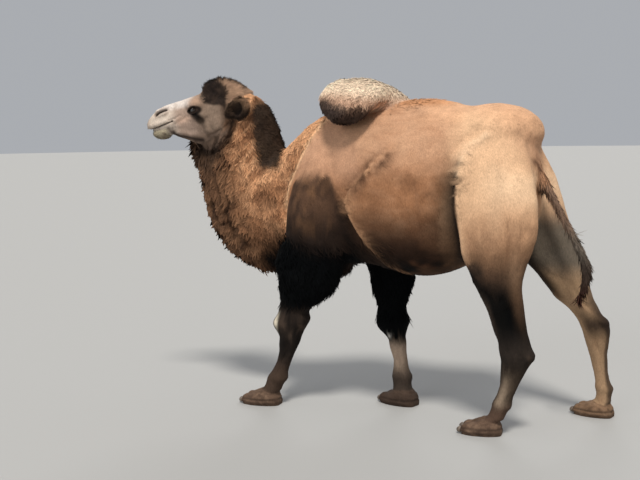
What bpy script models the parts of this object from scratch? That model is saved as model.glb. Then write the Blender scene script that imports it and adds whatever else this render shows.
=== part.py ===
import math

import bmesh
import bpy
from mathutils import Matrix, Vector

for old in list(bpy.data.objects):
    bpy.data.objects.remove(old, do_unlink=True)

# A standing two-humped camel. Metres, +Z up. It faces -Y and its left side is +X.
# Tables are written with y = 0 at mid trunk; the shifts centre the finished parts on the origin.
SHIFT_X = 0.042
SHIFT_Y = 0.3165
GAP = 0.0004
EAR_GAP = 0.0015
BODY_VOXEL = 0.013
HUMP_VOXEL = 0.011
TAIL_VOXEL = 0.009
HEAD_VOXEL = 0.006
FOOT_VOXEL = 0.006
BODY_FACES = 2250
HEAD_FACES = 1200
HUMP_FACES = 280
TAIL_FACES = 200
FOOT_FACES = 150
RING_POINTS = 40

HEAD_ORIGIN = Vector((0.096, -1.110, 1.686))
HEAD_YAW = math.radians(15.0)
HEAD_PITCH = math.radians(-8.0)
EYE_RADIUS = 0.0205
# ahead of the ears, up, to the side
EYE_AT = (0.224, 0.051, 0.0770)
ORBIT_SIDE = 0.112
ORBIT_SIZE = (0.028, 0.036, 0.026)
EAR_BASE = (0.006, -0.001, 0.078)
# shares of the head's forward, sideways and upward directions
EAR_ALONG = (-0.84, 0.50, 0.20)
EAR_MOUTH = (0.40, 0.90, -0.06)

# y, top z, bottom z, half width, squareness
BARREL = (
    (-0.900, 1.230, 0.860, 0.085, 2.0),
    (-0.820, 1.350, 0.800, 0.135, 2.0),
    (-0.700, 1.520, 0.765, 0.180, 2.0),
    (-0.560, 1.640, 0.775, 0.220, 2.0),
    (-0.420, 1.680, 0.815, 0.255, 2.1),
    (-0.290, 1.700, 0.832, 0.292, 2.1),
    (-0.140, 1.708, 0.800, 0.328, 2.1),
    (0.020, 1.712, 0.775, 0.345, 2.2),
    (0.160, 1.712, 0.795, 0.338, 2.2),
    (0.280, 1.708, 0.845, 0.305, 2.2),
    (0.400, 1.700, 0.930, 0.262, 2.1),
    (0.510, 1.670, 0.990, 0.235, 2.0),
    (0.600, 1.570, 1.040, 0.200, 2.0),
    (0.660, 1.430, 1.120, 0.120, 2.0),
)

# nape y, nape z, throat y, throat z, x, half width
NECK = (
    (-1.040, 1.800, -1.440, 1.550, 0.115, 0.050),
    (-0.955, 1.798, -1.444, 1.462, 0.108, 0.080),
    (-0.868, 1.715, -1.382, 1.340, 0.092, 0.105),
    (-0.826, 1.590, -1.362, 1.215, 0.070, 0.122),
    (-0.804, 1.490, -1.346, 1.095, 0.050, 0.135),
    (-0.780, 1.478, -1.290, 0.960, 0.035, 0.148),
    (-0.712, 1.550, -1.190, 0.855, 0.020, 0.162),
    (-0.618, 1.636, -1.060, 0.780, 0.010, 0.175),
    (-0.500, 1.682, -0.920, 0.740, 0.000, 0.185),
    (-0.350, 1.690, -0.760, 0.760, 0.000, 0.180),
)

# z, front y, rear y, x, half width
SHOULDER_LEFT = (
    (1.570, -0.545, -0.430, 0.100, 0.050),
    (1.450, -0.610, -0.385, 0.140, 0.080),
    (1.300, -0.675, -0.365, 0.165, 0.100),
    (1.150, -0.720, -0.365, 0.175, 0.106),
    (1.020, -0.740, -0.370, 0.178, 0.106),
    (0.900, -0.755, -0.370, 0.178, 0.104),
)
SHOULDER_RIGHT = (
    (1.570, -0.500, -0.370, -0.100, 0.050),
    (1.450, -0.550, -0.310, -0.140, 0.080),
    (1.300, -0.590, -0.260, -0.165, 0.100),
    (1.150, -0.590, -0.220, -0.175, 0.106),
    (1.020, -0.550, -0.180, -0.178, 0.106),
    (0.900, -0.480, -0.140, -0.176, 0.104),
)

# depth and width of a leg at each station, top to pastern
FORE_GIRTH = (
    (0.405, 0.205),
    (0.450, 0.222),
    (0.405, 0.222),
    (0.340, 0.205),
    (0.190, 0.150),
    (0.205, 0.160),
    (0.152, 0.122),
    (0.096, 0.084),
    (0.108, 0.106),
    (0.126, 0.118),
)
HIND_GIRTH = (
    (0.220, 0.140),
    (0.330, 0.190),
    (0.430, 0.215),
    (0.458, 0.228),
    (0.445, 0.230),
    (0.380, 0.215),
    (0.268, 0.172),
    (0.190, 0.134),
    (0.162, 0.112),
    (0.176, 0.114),
    (0.142, 0.102),
    (0.102, 0.084),
    (0.092, 0.086),
    (0.110, 0.108),
)

# x, y, z of each leg's centre line at those stations, and its share of the girth
FORE_LEFT = (
    (0.182, -0.562, 0.960, 1.00),
    (0.180, -0.592, 0.870, 1.00),
    (0.178, -0.602, 0.745, 1.00),
    (0.174, -0.626, 0.660, 1.00),
    (0.168, -0.694, 0.575, 1.00),
    (0.166, -0.721, 0.490, 1.00),
    (0.170, -0.728, 0.405, 1.00),
    (0.176, -0.756, 0.290, 1.00),
    (0.184, -0.815, 0.150, 1.00),
    (0.188, -0.850, 0.075, 1.00),
)
FORE_RIGHT = (
    (-0.178, -0.310, 0.960, 0.95),
    (-0.170, -0.262, 0.870, 0.80),
    (-0.158, -0.230, 0.765, 0.74),
    (-0.148, -0.230, 0.665, 0.76),
    (-0.142, -0.228, 0.565, 0.92),
    (-0.138, -0.219, 0.480, 0.92),
    (-0.135, -0.196, 0.380, 0.85),
    (-0.132, -0.172, 0.270, 0.94),
    (-0.128, -0.160, 0.155, 1.00),
    (-0.125, -0.152, 0.075, 1.00),
)
HIND_LEFT = (
    (0.080, 0.470, 1.600, 1.00),
    (0.125, 0.472, 1.470, 1.00),
    (0.158, 0.466, 1.320, 1.00),
    (0.176, 0.478, 1.170, 1.00),
    (0.184, 0.483, 1.030, 1.00),
    (0.190, 0.474, 0.915, 1.00),
    (0.196, 0.496, 0.800, 1.02),
    (0.204, 0.542, 0.667, 1.12),
    (0.210, 0.574, 0.550, 1.14),
    (0.214, 0.606, 0.428, 1.03),
    (0.216, 0.593, 0.350, 1.00),
    (0.220, 0.567, 0.260, 1.00),
    (0.224, 0.528, 0.150, 1.00),
    (0.226, 0.495, 0.075, 1.00),
)
HIND_RIGHT = (
    (-0.080, 0.470, 1.600, 1.00),
    (-0.125, 0.480, 1.470, 1.00),
    (-0.158, 0.500, 1.320, 1.00),
    (-0.176, 0.535, 1.180, 0.96),
    (-0.186, 0.590, 1.040, 0.92),
    (-0.196, 0.672, 0.900, 0.92),
    (-0.208, 0.742, 0.785, 1.02),
    (-0.222, 0.803, 0.665, 1.14),
    (-0.238, 0.876, 0.575, 1.02),
    (-0.255, 0.912, 0.500, 0.92),
    (-0.276, 0.918, 0.400, 0.86),
    (-0.298, 0.930, 0.280, 0.86),
    (-0.322, 0.950, 0.150, 0.92),
    (-0.335, 0.940, 0.075, 1.00),
)

# x, y of each foot's middle
FEET = {
    "fore_left": (0.190, -0.900),
    "fore_right": (-0.125, -0.165),
    "hind_left": (0.226, 0.436),
    "hind_right": (-0.345, 0.900),
}
FOOT_TURN = {"fore_left": 5.0, "fore_right": -14.0, "hind_left": 7.0, "hind_right": -10.0}
# distance ahead of the foot's middle, height, half width
FOOT_FORE = (
    (0.118, 0.040, 0.050),
    (0.095, 0.058, 0.074),
    (0.050, 0.078, 0.088),
    (0.000, 0.100, 0.090),
    (-0.050, 0.105, 0.082),
    (-0.090, 0.080, 0.062),
    (-0.112, 0.050, 0.038),
)

# x, y, z of the tail's centre line, thickness along the body, width
TAIL = (
    (0.000, 0.590, 1.450, 0.080, 0.080),
    (0.000, 0.640, 1.385, 0.078, 0.078),
    (0.000, 0.688, 1.305, 0.068, 0.068),
    (0.002, 0.748, 1.190, 0.060, 0.060),
    (0.005, 0.815, 1.070, 0.058, 0.060),
    (0.008, 0.880, 0.945, 0.064, 0.064),
    (0.010, 0.910, 0.860, 0.066, 0.066),
    (0.010, 0.902, 0.790, 0.056, 0.058),
    (0.010, 0.882, 0.735, 0.040, 0.042),
    (0.010, 0.862, 0.692, 0.016, 0.018),
)

# across the back and over: x, y, z of the middle, half length, half thickness
HUMP_FRONT = (
    (-0.100, -0.285, 1.580, 0.285, 0.175),
    (-0.035, -0.300, 1.690, 0.250, 0.148),
    (0.060, -0.336, 1.762, 0.208, 0.108),
    (0.140, -0.338, 1.765, 0.190, 0.094),
    (0.210, -0.337, 1.722, 0.168, 0.086),
    (0.252, -0.332, 1.670, 0.135, 0.072),
    (0.270, -0.328, 1.615, 0.075, 0.040),
)

# ahead of the ears, top, bottom, half width, squareness, narrowing to the top
SKULL = (
    (0.545, 0.026, -0.006, 0.016, 2.0, 0.00),
    (0.530, 0.046, -0.018, 0.034, 2.1, -0.10),
    (0.505, 0.068, -0.024, 0.046, 2.2, -0.20),
    (0.470, 0.092, -0.026, 0.053, 2.3, -0.28),
    (0.425, 0.109, -0.034, 0.055, 2.3, -0.30),
    (0.370, 0.119, -0.054, 0.053, 2.3, -0.25),
    (0.310, 0.126, -0.074, 0.060, 2.3, -0.15),
    (0.260, 0.134, -0.096, 0.076, 2.3, 0.00),
    (0.210, 0.141, -0.112, 0.090, 2.3, 0.05),
    (0.150, 0.155, -0.124, 0.094, 2.2, 0.00),
    (0.090, 0.162, -0.112, 0.092, 2.1, 0.00),
    (0.020, 0.158, -0.090, 0.090, 2.0, 0.00),
    (-0.060, 0.135, -0.070, 0.080, 2.0, 0.00),
    (-0.120, 0.095, -0.040, 0.056, 2.0, 0.00),
)
JAW = (
    (0.512, -0.034, -0.056, 0.020),
    (0.497, -0.026, -0.074, 0.034),
    (0.465, -0.020, -0.085, 0.041),
    (0.430, -0.014, -0.084, 0.041),
    (0.400, -0.008, -0.066, 0.038),
    (0.370, -0.008, -0.084, 0.042),
    (0.310, -0.010, -0.112, 0.050),
    (0.250, -0.010, -0.146, 0.060),
    (0.190, -0.010, -0.176, 0.068),
    (0.130, -0.010, -0.174, 0.070),
    (0.080, -0.010, -0.146, 0.068),
    (0.040, -0.010, -0.105, 0.056),
)
CROWN = (
    (0.180, 0.160, 0.100, 0.030, 2.0, 0.00),
    (0.152, 0.194, 0.080, 0.056, 2.0, -0.20),
    (0.100, 0.212, 0.060, 0.070, 2.0, -0.25),
    (0.045, 0.214, 0.050, 0.076, 2.0, -0.25),
    (-0.010, 0.198, 0.040, 0.076, 2.0, -0.20),
    (-0.060, 0.165, 0.030, 0.066, 2.0, -0.10),
    (-0.110, 0.120, 0.020, 0.048, 2.0, 0.00),
)

# middle and half sizes of the rounded forms blended into the trunk
TRUNK_FORMS = (
    ("rear_dome", (-0.030, 0.420, 1.560), (0.240, 0.258, 0.160)),
    ("rear_lobe", (-0.170, 0.440, 1.530), (0.150, 0.200, 0.130)),
    ("saddle", (0.0, 0.030, 1.650), (0.120, 0.300, 0.098)),
    ("breast_pad", (0.0, -0.540, 0.800), (0.110, 0.130, 0.060)),
    ("croup", (0.0, 0.560, 1.340), (0.210, 0.112, 0.200)),
)
# ahead of the ears, up and to the side, then half sizes, of the forms on each side of the head
HEAD_FORMS = (
    ("cheek", (0.110, -0.040, 0.058), (0.042, 0.095, 0.088)),
    ("brow", (0.190, 0.078, 0.050), (0.052, 0.092, 0.050)),
    ("zygoma", (0.165, 0.012, 0.052), (0.048, 0.125, 0.046)),
    ("nostril_wing", (0.428, 0.066, 0.030), (0.026, 0.055, 0.034)),
    ("upper_lip", (0.486, 0.008, 0.024), (0.028, 0.048, 0.034)),
)
# ahead of the foot's middle, to the side, up, then half sizes
TOE = ((0.088, 0.040, 0.024), (0.037, 0.046, 0.034))
NAIL = ((0.131, 0.039, 0.021), (0.017, 0.016, 0.018))
FORE_FOOT_SIZE = 0.96
HIND_FOOT_SIZE = 0.90
SOLE_DEPTH = 0.012

collection = bpy.data.collections.new("camel")
bpy.context.scene.collection.children.link(collection)
cutters = bpy.data.collections.new("cutters")
bpy.context.scene.collection.children.link(cutters)


def add_object(name, mesh, where=collection):
    obj = bpy.data.objects.new(name, mesh)
    where.objects.link(obj)
    return obj


def eased(table, steps=4):
    """Rows of numbers with smooth in-between rows added."""
    rows = []
    last = len(table) - 1
    for i in range(last):
        before = table[max(i - 1, 0)]
        start = table[i]
        end = table[i + 1]
        after = table[min(i + 2, last)]
        for k in range(steps):
            t = k / steps
            row = []
            for p, q, r, s in zip(before, start, end, after):
                row.append(
                    0.5 * (2.0 * q + (r - p) * t + (2.0 * p - 5.0 * q + 4.0 * r - s) * t * t
                           + (3.0 * q - p - 3.0 * r + s) * t ** 3)
                )
            rows.append(tuple(row))
    rows.append(tuple(table[last]))
    return rows


def loft(name, rings, points=RING_POINTS):
    """Closed shell through rings of (middle, half axis A, half axis B, squareness, taper along A)."""
    bm = bmesh.new()
    loops = []
    for middle, axis_a, axis_b, power, taper in rings:
        loop = []
        for i in range(points):
            turn = 2.0 * math.pi * i / points
            along = math.copysign(abs(math.cos(turn)) ** (2.0 / power), math.cos(turn))
            across = math.copysign(abs(math.sin(turn)) ** (2.0 / power), math.sin(turn))
            spot = middle + axis_a * along + axis_b * (across * (1.0 + taper * along))
            loop.append(bm.verts.new(spot))
        loops.append(loop)
    for first, second in zip(loops, loops[1:]):
        for i in range(points):
            j = (i + 1) % points
            bm.faces.new((first[i], first[j], second[j], second[i]))
    bm.faces.new(list(reversed(loops[0])))
    bm.faces.new(loops[-1])
    bmesh.ops.recalc_face_normals(bm, faces=bm.faces)
    bmesh.ops.triangulate(bm, faces=[f for f in bm.faces if len(f.verts) > 4])
    mesh = bpy.data.meshes.new(name)
    bm.to_mesh(mesh)
    bm.free()
    return add_object(name, mesh)


def ball(name, middle, radii, turn=None, where=collection, rings=16):
    bm = bmesh.new()
    bmesh.ops.create_uvsphere(bm, u_segments=2 * rings, v_segments=rings, radius=1.0)
    shape = Matrix.Diagonal(Vector(radii)).to_4x4()
    if turn is not None:
        shape = turn.to_4x4() @ shape
    bmesh.ops.transform(bm, matrix=Matrix.Translation(middle) @ shape, verts=bm.verts)
    mesh = bpy.data.meshes.new(name)
    bm.to_mesh(mesh)
    bm.free()
    return add_object(name, mesh, where)


def bake(obj):
    """Write the result of an object's modifiers into its mesh."""
    graph = bpy.context.evaluated_depsgraph_get()
    mesh = bpy.data.meshes.new_from_object(obj.evaluated_get(graph))
    obj.modifiers.clear()
    obj.data = mesh
    return obj


def join(name, pieces):
    bm = bmesh.new()
    for piece in pieces:
        bm.from_mesh(piece.data)
        bpy.data.objects.remove(piece, do_unlink=True)
    mesh = bpy.data.meshes.new(name)
    bm.to_mesh(mesh)
    bm.free()
    return add_object(name, mesh)


def fuse(name, pieces, voxel, smooth, faces):
    """One closed surface round overlapping shells, smoothed and thinned to a face count."""
    obj = join(name, pieces)
    remesh = obj.modifiers.new("fuse", "REMESH")
    remesh.mode = "VOXEL"
    remesh.voxel_size = voxel
    soften = obj.modifiers.new("soften", "SMOOTH")
    soften.factor = 0.5
    soften.iterations = smooth
    bake(obj)
    thin = obj.modifiers.new("thin", "DECIMATE")
    thin.ratio = faces / (2.0 * len(obj.data.polygons))
    thin.use_collapse_triangulate = True
    bake(obj)
    return obj


def boolean(obj, tool, operation="DIFFERENCE"):
    step = obj.modifiers.new("cut", "BOOLEAN")
    step.operation = operation
    step.solver = "EXACT"
    step.object = tool
    bake(obj)


def grown(obj, amount):
    """A copy of a solid, larger by a clearance all round, kept with the cutters."""
    copy = add_object(obj.name + "_grown", obj.data.copy(), cutters)
    swell = copy.modifiers.new("swell", "DISPLACE")
    swell.strength = amount
    swell.mid_level = 0.0
    bake(copy)
    copy.hide_render = True
    copy.display_type = "WIRE"
    return copy


def prism(name, outline, low, high, frame=None):
    """A cutter: an outline of (y, z) points drawn out along x from low to high."""
    bm = bmesh.new()
    near = [bm.verts.new((low, y, z)) for y, z in outline]
    far = [bm.verts.new((high, y, z)) for y, z in outline]
    count = len(outline)
    for i in range(count):
        j = (i + 1) % count
        bm.faces.new((near[i], near[j], far[j], far[i]))
    bm.faces.new(near)
    bm.faces.new(far)
    if frame is not None:
        bmesh.ops.transform(bm, matrix=frame, verts=bm.verts)
    bmesh.ops.recalc_face_normals(bm, faces=bm.faces)
    mesh = bpy.data.meshes.new(name)
    bm.to_mesh(mesh)
    bm.free()
    tool = add_object(name, mesh, cutters)
    tool.hide_render = True
    tool.display_type = "WIRE"
    return tool


def take(body, name, region):
    """Move the part of a solid inside a region into a solid of its own, with a small gap."""
    piece = add_object(name, body.data.copy())
    boolean(piece, region, "INTERSECT")
    boolean(body, grown(region, 2.0 * GAP))
    return piece


def trim_floor(obj):
    """Flatten the sole at z = 0."""
    bm = bmesh.new()
    bm.from_mesh(obj.data)
    everything = list(bm.verts) + list(bm.edges) + list(bm.faces)
    bmesh.ops.bisect_plane(
        bm, geom=everything, plane_co=(0.0, 0.0, 0.0), plane_no=(0.0, 0.0, 1.0), clear_inner=True
    )
    bmesh.ops.holes_fill(bm, edges=[e for e in bm.edges if e.is_boundary])
    bmesh.ops.triangulate(bm, faces=bm.faces)
    bmesh.ops.recalc_face_normals(bm, faces=bm.faces)
    bm.to_mesh(obj.data)
    bm.free()


def barrel_rings(table):
    rings = []
    for y, top, bottom, half, power in eased(table):
        middle = Vector((0.0, y, 0.5 * (top + bottom)))
        axis_a = Vector((0.0, 0.0, 0.5 * (top - bottom)))
        rings.append((middle, axis_a, Vector((half, 0.0, 0.0)), power, -0.10))
    return rings


def neck_rings(table):
    rings = []
    for nape_y, nape_z, throat_y, throat_z, x, half in eased(table):
        nape = Vector((x, nape_y, nape_z))
        throat = Vector((x, throat_y, throat_z))
        rings.append((0.5 * (nape + throat), 0.5 * (nape - throat), Vector((half, 0.0, 0.0)), 2.0, 0.12))
    return rings


def shoulder_rings(table):
    rings = []
    for z, front, rear, x, half in eased(table):
        middle = Vector((x, 0.5 * (front + rear), z))
        rings.append((middle, Vector((0.0, 0.5 * (rear - front), 0.0)), Vector((half, 0.0, 0.0)), 2.1, 0.0))
    return rings


def leg_rings(line, girth):
    rows = []
    for (x, y, z, share), (depth, width) in zip(line, girth):
        rows.append((x, y, z, 0.5 * depth * share, 0.5 * width * share))
    rings = []
    for x, y, z, deep, wide in eased(rows):
        rings.append((Vector((x, y, z)), Vector((0.0, deep, 0.0)), Vector((wide, 0.0, 0.0)), 2.1, 0.0))
    return rings


def over_rings(rows):
    """Rings of a lobe that leans across the back: half length runs along y."""
    table = eased(rows)
    points = [Vector(row[:3]) for row in table]
    rings = []
    for i, row in enumerate(table):
        way = (points[min(i + 1, len(points) - 1)] - points[max(i - 1, 0)]).normalized()
        side = way.cross(Vector((0.0, 1.0, 0.0))).normalized()
        rings.append((points[i], Vector((0.0, row[3], 0.0)), side * row[4], 2.2, 0.0))
    return rings


# the head's own directions: forward, to its left, up
HEAD_F = Vector((math.sin(HEAD_YAW), -math.cos(HEAD_YAW), 0.0)) * math.cos(HEAD_PITCH)
HEAD_F.z = math.sin(HEAD_PITCH)
HEAD_S = Vector((math.cos(HEAD_YAW), math.sin(HEAD_YAW), 0.0))
HEAD_U = HEAD_F.cross(HEAD_S)


def head_point(ahead, up, side):
    return HEAD_ORIGIN + HEAD_F * ahead + HEAD_U * up + HEAD_S * side


def head_turn():
    return Matrix((HEAD_S, -HEAD_F, HEAD_U)).transposed()


def head_rings(table):
    rings = []
    for ahead, top, bottom, half, power, taper in eased(table, 3):
        middle = head_point(ahead, 0.5 * (top + bottom), 0.0)
        rings.append((middle, HEAD_U * (0.5 * (top - bottom)), HEAD_S * half, power, taper))
    return rings


# Trunk, neck and legs as one surface, then parted by thin cuts.
flesh = [loft("barrel", barrel_rings(BARREL)), loft("neck_tube", neck_rings(NECK))]
flesh.append(loft("shoulder_l", shoulder_rings(SHOULDER_LEFT)))
flesh.append(loft("shoulder_r", shoulder_rings(SHOULDER_RIGHT)))
flesh.append(loft("fore_l", leg_rings(FORE_LEFT, FORE_GIRTH)))
flesh.append(loft("fore_r", leg_rings(FORE_RIGHT, FORE_GIRTH)))
flesh.append(loft("hind_l", leg_rings(HIND_LEFT, HIND_GIRTH)))
flesh.append(loft("hind_r", leg_rings(HIND_RIGHT, HIND_GIRTH)))
for name, middle, radii in TRUNK_FORMS:
    flesh.append(ball(name, Vector(middle), radii))
body = fuse("trunk", flesh, BODY_VOXEL, 6, BODY_FACES)

head_pieces = [loft("skull", head_rings(SKULL)), loft("crown", head_rings(CROWN))]
jaw_rows = [row + (2.2, 0.10) for row in JAW]
head_pieces.append(loft("mandible", head_rings(jaw_rows)))
for sign in (1.0, -1.0):
    for name, (ahead, up, aside), radii in HEAD_FORMS:
        head_pieces.append(ball(name, head_point(ahead, up, aside * sign), radii, head_turn()))
head = fuse("head", head_pieces, HEAD_VOXEL, 6, HEAD_FACES)

for sign, tag in ((1.0, "left"), (-1.0, "right")):
    middle = head_point(EYE_AT[0], EYE_AT[1], EYE_AT[2] * sign)
    ball("eye_" + tag, middle, (EYE_RADIUS,) * 3, head_turn(), rings=6)


def ear_axes(sign):
    along = (HEAD_F * EAR_ALONG[0] + HEAD_S * (EAR_ALONG[1] * sign) + HEAD_U * EAR_ALONG[2]).normalized()
    mouth = (HEAD_F * EAR_MOUTH[0] + HEAD_S * (EAR_MOUTH[1] * sign) + HEAD_U * EAR_MOUTH[2]).normalized()
    mouth = (mouth - along * mouth.dot(along)).normalized()
    side = along.cross(mouth).normalized()
    return along, mouth, side


# reach along the ear, half width, half depth, offset towards its mouth
EAR_OUTER = (
    (-0.020, 0.030, 0.030, 0.000),
    (0.014, 0.040, 0.038, 0.000),
    (0.050, 0.052, 0.036, 0.002),
    (0.088, 0.057, 0.030, 0.004),
    (0.122, 0.050, 0.022, 0.007),
    (0.146, 0.033, 0.013, 0.009),
    (0.156, 0.015, 0.006, 0.010),
)
EAR_HOLLOW = (
    (0.016, 0.014, 0.013, 0.028),
    (0.044, 0.034, 0.028, 0.032),
    (0.082, 0.043, 0.028, 0.034),
    (0.115, 0.037, 0.022, 0.033),
    (0.134, 0.022, 0.014, 0.032),
    (0.142, 0.010, 0.007, 0.031),
)


def ear_rings(table, sign):
    along, mouth, side = ear_axes(sign)
    base = head_point(EAR_BASE[0], EAR_BASE[1], EAR_BASE[2] * sign)
    rings = []
    for reach, half, depth, offset in table:
        rings.append((base + along * reach + mouth * offset, side * half, mouth * depth, 2.0, 0.0))
    return rings


for sign in (1.0, -1.0):
    middle = head_point(EYE_AT[0], EYE_AT[1], ORBIT_SIDE * sign)
    orbit = ball("orbit", middle, ORBIT_SIZE, head_turn(), rings=6)
    boolean(head, orbit)
    bpy.data.objects.remove(orbit, do_unlink=True)
head_tool = grown(head, GAP)
for sign, tag in ((1.0, "left"), (-1.0, "right")):
    hollow = loft("ear_hollow", ear_rings(EAR_HOLLOW, sign), 12)
    ear = loft("ear_" + tag, ear_rings(EAR_OUTER, sign), 14)
    boolean(ear, hollow)
    bpy.data.objects.remove(hollow, do_unlink=True)
    boolean(ear, head_tool)

foot_names = ("fore_left", "fore_right", "hind_left", "hind_right")
for tag in foot_names:
    size = FORE_FOOT_SIZE if "fore" in tag else HIND_FOOT_SIZE
    turn = Matrix.Rotation(math.radians(FOOT_TURN[tag]), 3, "Z")
    ahead = turn @ Vector((0.0, -size, 0.0))
    across = turn @ Vector((size, 0.0, 0.0))
    middle = Vector((FEET[tag][0], FEET[tag][1], 0.0))
    rings = []
    for reach, height, half in FOOT_FORE:
        spot = middle + ahead * reach + Vector((0.0, 0.0, 0.5 * (height * size - SOLE_DEPTH)))
        axis_up = Vector((0.0, 0.0, 0.5 * (height * size + SOLE_DEPTH)))
        rings.append((spot, axis_up, across * half, 2.4, -0.12))
    toes = [loft("pad", rings)]
    for sign in (1.0, -1.0):
        (reach, aside, up), radii = TOE
        spot = middle + ahead * reach + across * (aside * sign) + Vector((0.0, 0.0, up))
        toes.append(ball("toe", spot, [size * radius for radius in radii], turn))
    foot = fuse("foot_" + tag, toes, FOOT_VOXEL, 4, FOOT_FACES)
    trim_floor(foot)
    for sign in (1.0, -1.0):
        side = "outer" if (sign > 0.0) == ("left" in tag) else "inner"
        (reach, aside, up), radii = NAIL
        spot = middle + ahead * reach + across * (aside * sign) + Vector((0.0, 0.0, up))
        nail = ball("nail_" + tag + "_" + side, spot, radii, turn, rings=4)
        boolean(foot, grown(nail, GAP))

tail_rings = []
tail_rows = eased(TAIL)
for i, (x, y, z, deep, wide) in enumerate(tail_rows):
    before = tail_rows[max(i - 1, 0)]
    after = tail_rows[min(i + 1, len(tail_rows) - 1)]
    way = Vector((0.0, after[1] - before[1], after[2] - before[2])).normalized()
    side = Vector((1.0, 0.0, 0.0))
    tail_rings.append((Vector((x, y, z)), side * (0.5 * wide), way.cross(side) * (0.5 * deep), 2.0, 0.0))
tail = fuse("tail", [loft("tail_core", tail_rings, 16)], TAIL_VOXEL, 2, TAIL_FACES)

hump = fuse("hump_front", [loft("lobe", over_rings(HUMP_FRONT))], HUMP_VOXEL, 4, HUMP_FACES)

nape_tool = grown(body, EAR_GAP)
for tag in ("left", "right"):
    boolean(bpy.data.objects["ear_" + tag], nape_tool)
boolean(body, head_tool)
for tag in foot_names:
    boolean(body, grown(bpy.data.objects["foot_" + tag], GAP))
body_tool = grown(body, GAP)
boolean(tail, body_tool)
boolean(hump, body_tool)

for tag in ("left", "right"):
    boolean(head, grown(bpy.data.objects["eye_" + tag], GAP))
head_frame = Matrix.Translation(HEAD_ORIGIN) @ head_turn().to_4x4()
# the mouth line and the lower edge of the cheek, as (behind the nose, up) from the ears
JAW_LINE = (
    (-0.620, -0.034),
    (-0.505, -0.023),
    (-0.460, -0.014),
    (-0.410, -0.001),
    (-0.385, 0.008),
    (-0.360, -0.012),
    (-0.300, -0.046),
    (-0.200, -0.072),
    (-0.120, -0.088),
    (-0.050, -0.130),
    (-0.050, -0.320),
    (-0.620, -0.320),
)
take(head, "jaw", prism("jaw_region", JAW_LINE, -0.20, 0.20, head_frame))

# outlines of the parted regions as (y, z)
NECK_REGION = ((-0.730, 1.640), (-1.060, 0.600), (-2.200, 0.600), (-2.200, 2.300), (-0.730, 2.300))
REAR_HUMP_REGION = ((0.120, 1.640), (0.120, 2.100), (0.950, 2.100), (0.950, 1.510), (0.600, 1.560))
FORE_LEFT_UPPER = ((-0.970, 0.500), (-0.970, 0.940), (-0.330, 0.940), (-0.330, 0.500))
FORE_LEFT_LOWER = ((-1.000, -0.100), (-1.000, 0.500), (-0.330, 0.500), (-0.330, -0.100))
FORE_RIGHT_UPPER = ((-0.520, 0.490), (-0.520, 0.940), (-0.050, 0.940), (-0.050, 0.490))
FORE_RIGHT_LOWER = ((-0.520, -0.100), (-0.520, 0.490), (0.000, 0.490), (0.000, -0.100))
HIND_LEFT_UPPER = (
    (0.300, 0.500),
    (0.255, 0.860),
    (0.245, 1.250),
    (0.420, 1.400),
    (0.900, 1.300),
    (0.900, 0.500),
)
HIND_LEFT_LOWER = ((0.300, -0.100), (0.300, 0.500), (0.900, 0.500), (0.900, -0.100))
HIND_RIGHT_UPPER = (
    (0.520, 0.560),
    (0.300, 0.860),
    (0.245, 1.250),
    (0.420, 1.400),
    (0.960, 1.300),
    (1.100, 0.560),
)
HIND_RIGHT_LOWER = ((0.500, -0.100), (0.500, 0.560), (1.200, 0.560), (1.200, -0.100))
INNER = 0.055
REACH = 0.6
regions = (
    ("neck", NECK_REGION, -REACH, REACH),
    ("hump_rear", REAR_HUMP_REGION, -REACH, REACH),
    ("leg_fore_left_upper", FORE_LEFT_UPPER, INNER, REACH),
    ("leg_fore_left_lower", FORE_LEFT_LOWER, INNER, REACH),
    ("leg_fore_right_upper", FORE_RIGHT_UPPER, -REACH, -INNER),
    ("leg_fore_right_lower", FORE_RIGHT_LOWER, -REACH, -INNER),
    ("leg_hind_left_upper", HIND_LEFT_UPPER, INNER, REACH),
    ("leg_hind_left_lower", HIND_LEFT_LOWER, INNER, REACH),
    ("leg_hind_right_upper", HIND_RIGHT_UPPER, -REACH, -INNER),
    ("leg_hind_right_lower", HIND_RIGHT_LOWER, -REACH, -INNER),
)
for name, outline, low, high in regions:
    take(body, name, prism(name + "_region", outline, low, high))

COAT = (0.42, 0.24, 0.12)
DARK = (0.07, 0.05, 0.04)
PALE = (0.62, 0.46, 0.32)
COLOURS = {
    "eye": (0.02, 0.015, 0.012),
    "nail": (0.16, 0.13, 0.10),
    "foot": (0.13, 0.09, 0.07),
    "leg_fore": DARK,
    "leg_hind_left_lower": (0.10, 0.07, 0.05),
    "leg_hind_right_lower": (0.22, 0.15, 0.10),
    "leg_hind": PALE,
    "head": (0.50, 0.40, 0.31),
    "jaw": (0.52, 0.43, 0.34),
    "ear": (0.20, 0.14, 0.10),
    "tail": (0.20, 0.11, 0.06),
}
for obj in list(collection.objects):
    colour = COAT
    for start, value in COLOURS.items():
        if obj.name.startswith(start):
            colour = value
            break
    material = bpy.data.materials.new(obj.name)
    material.use_nodes = True
    shader = material.node_tree.nodes["Principled BSDF"]
    shader.inputs["Base Color"].default_value = (colour[0], colour[1], colour[2], 1.0)
    shader.inputs["Roughness"].default_value = 0.15 if obj.name.startswith("eye") else 0.85
    obj.data.materials.clear()
    obj.data.materials.append(material)
    obj.data.transform(Matrix.Translation((SHIFT_X, SHIFT_Y, 0.0)))
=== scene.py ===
import math

import bmesh
import bpy
import numpy as np
from mathutils import Matrix, Vector
from mathutils.bvhtree import BVHTree


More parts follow.
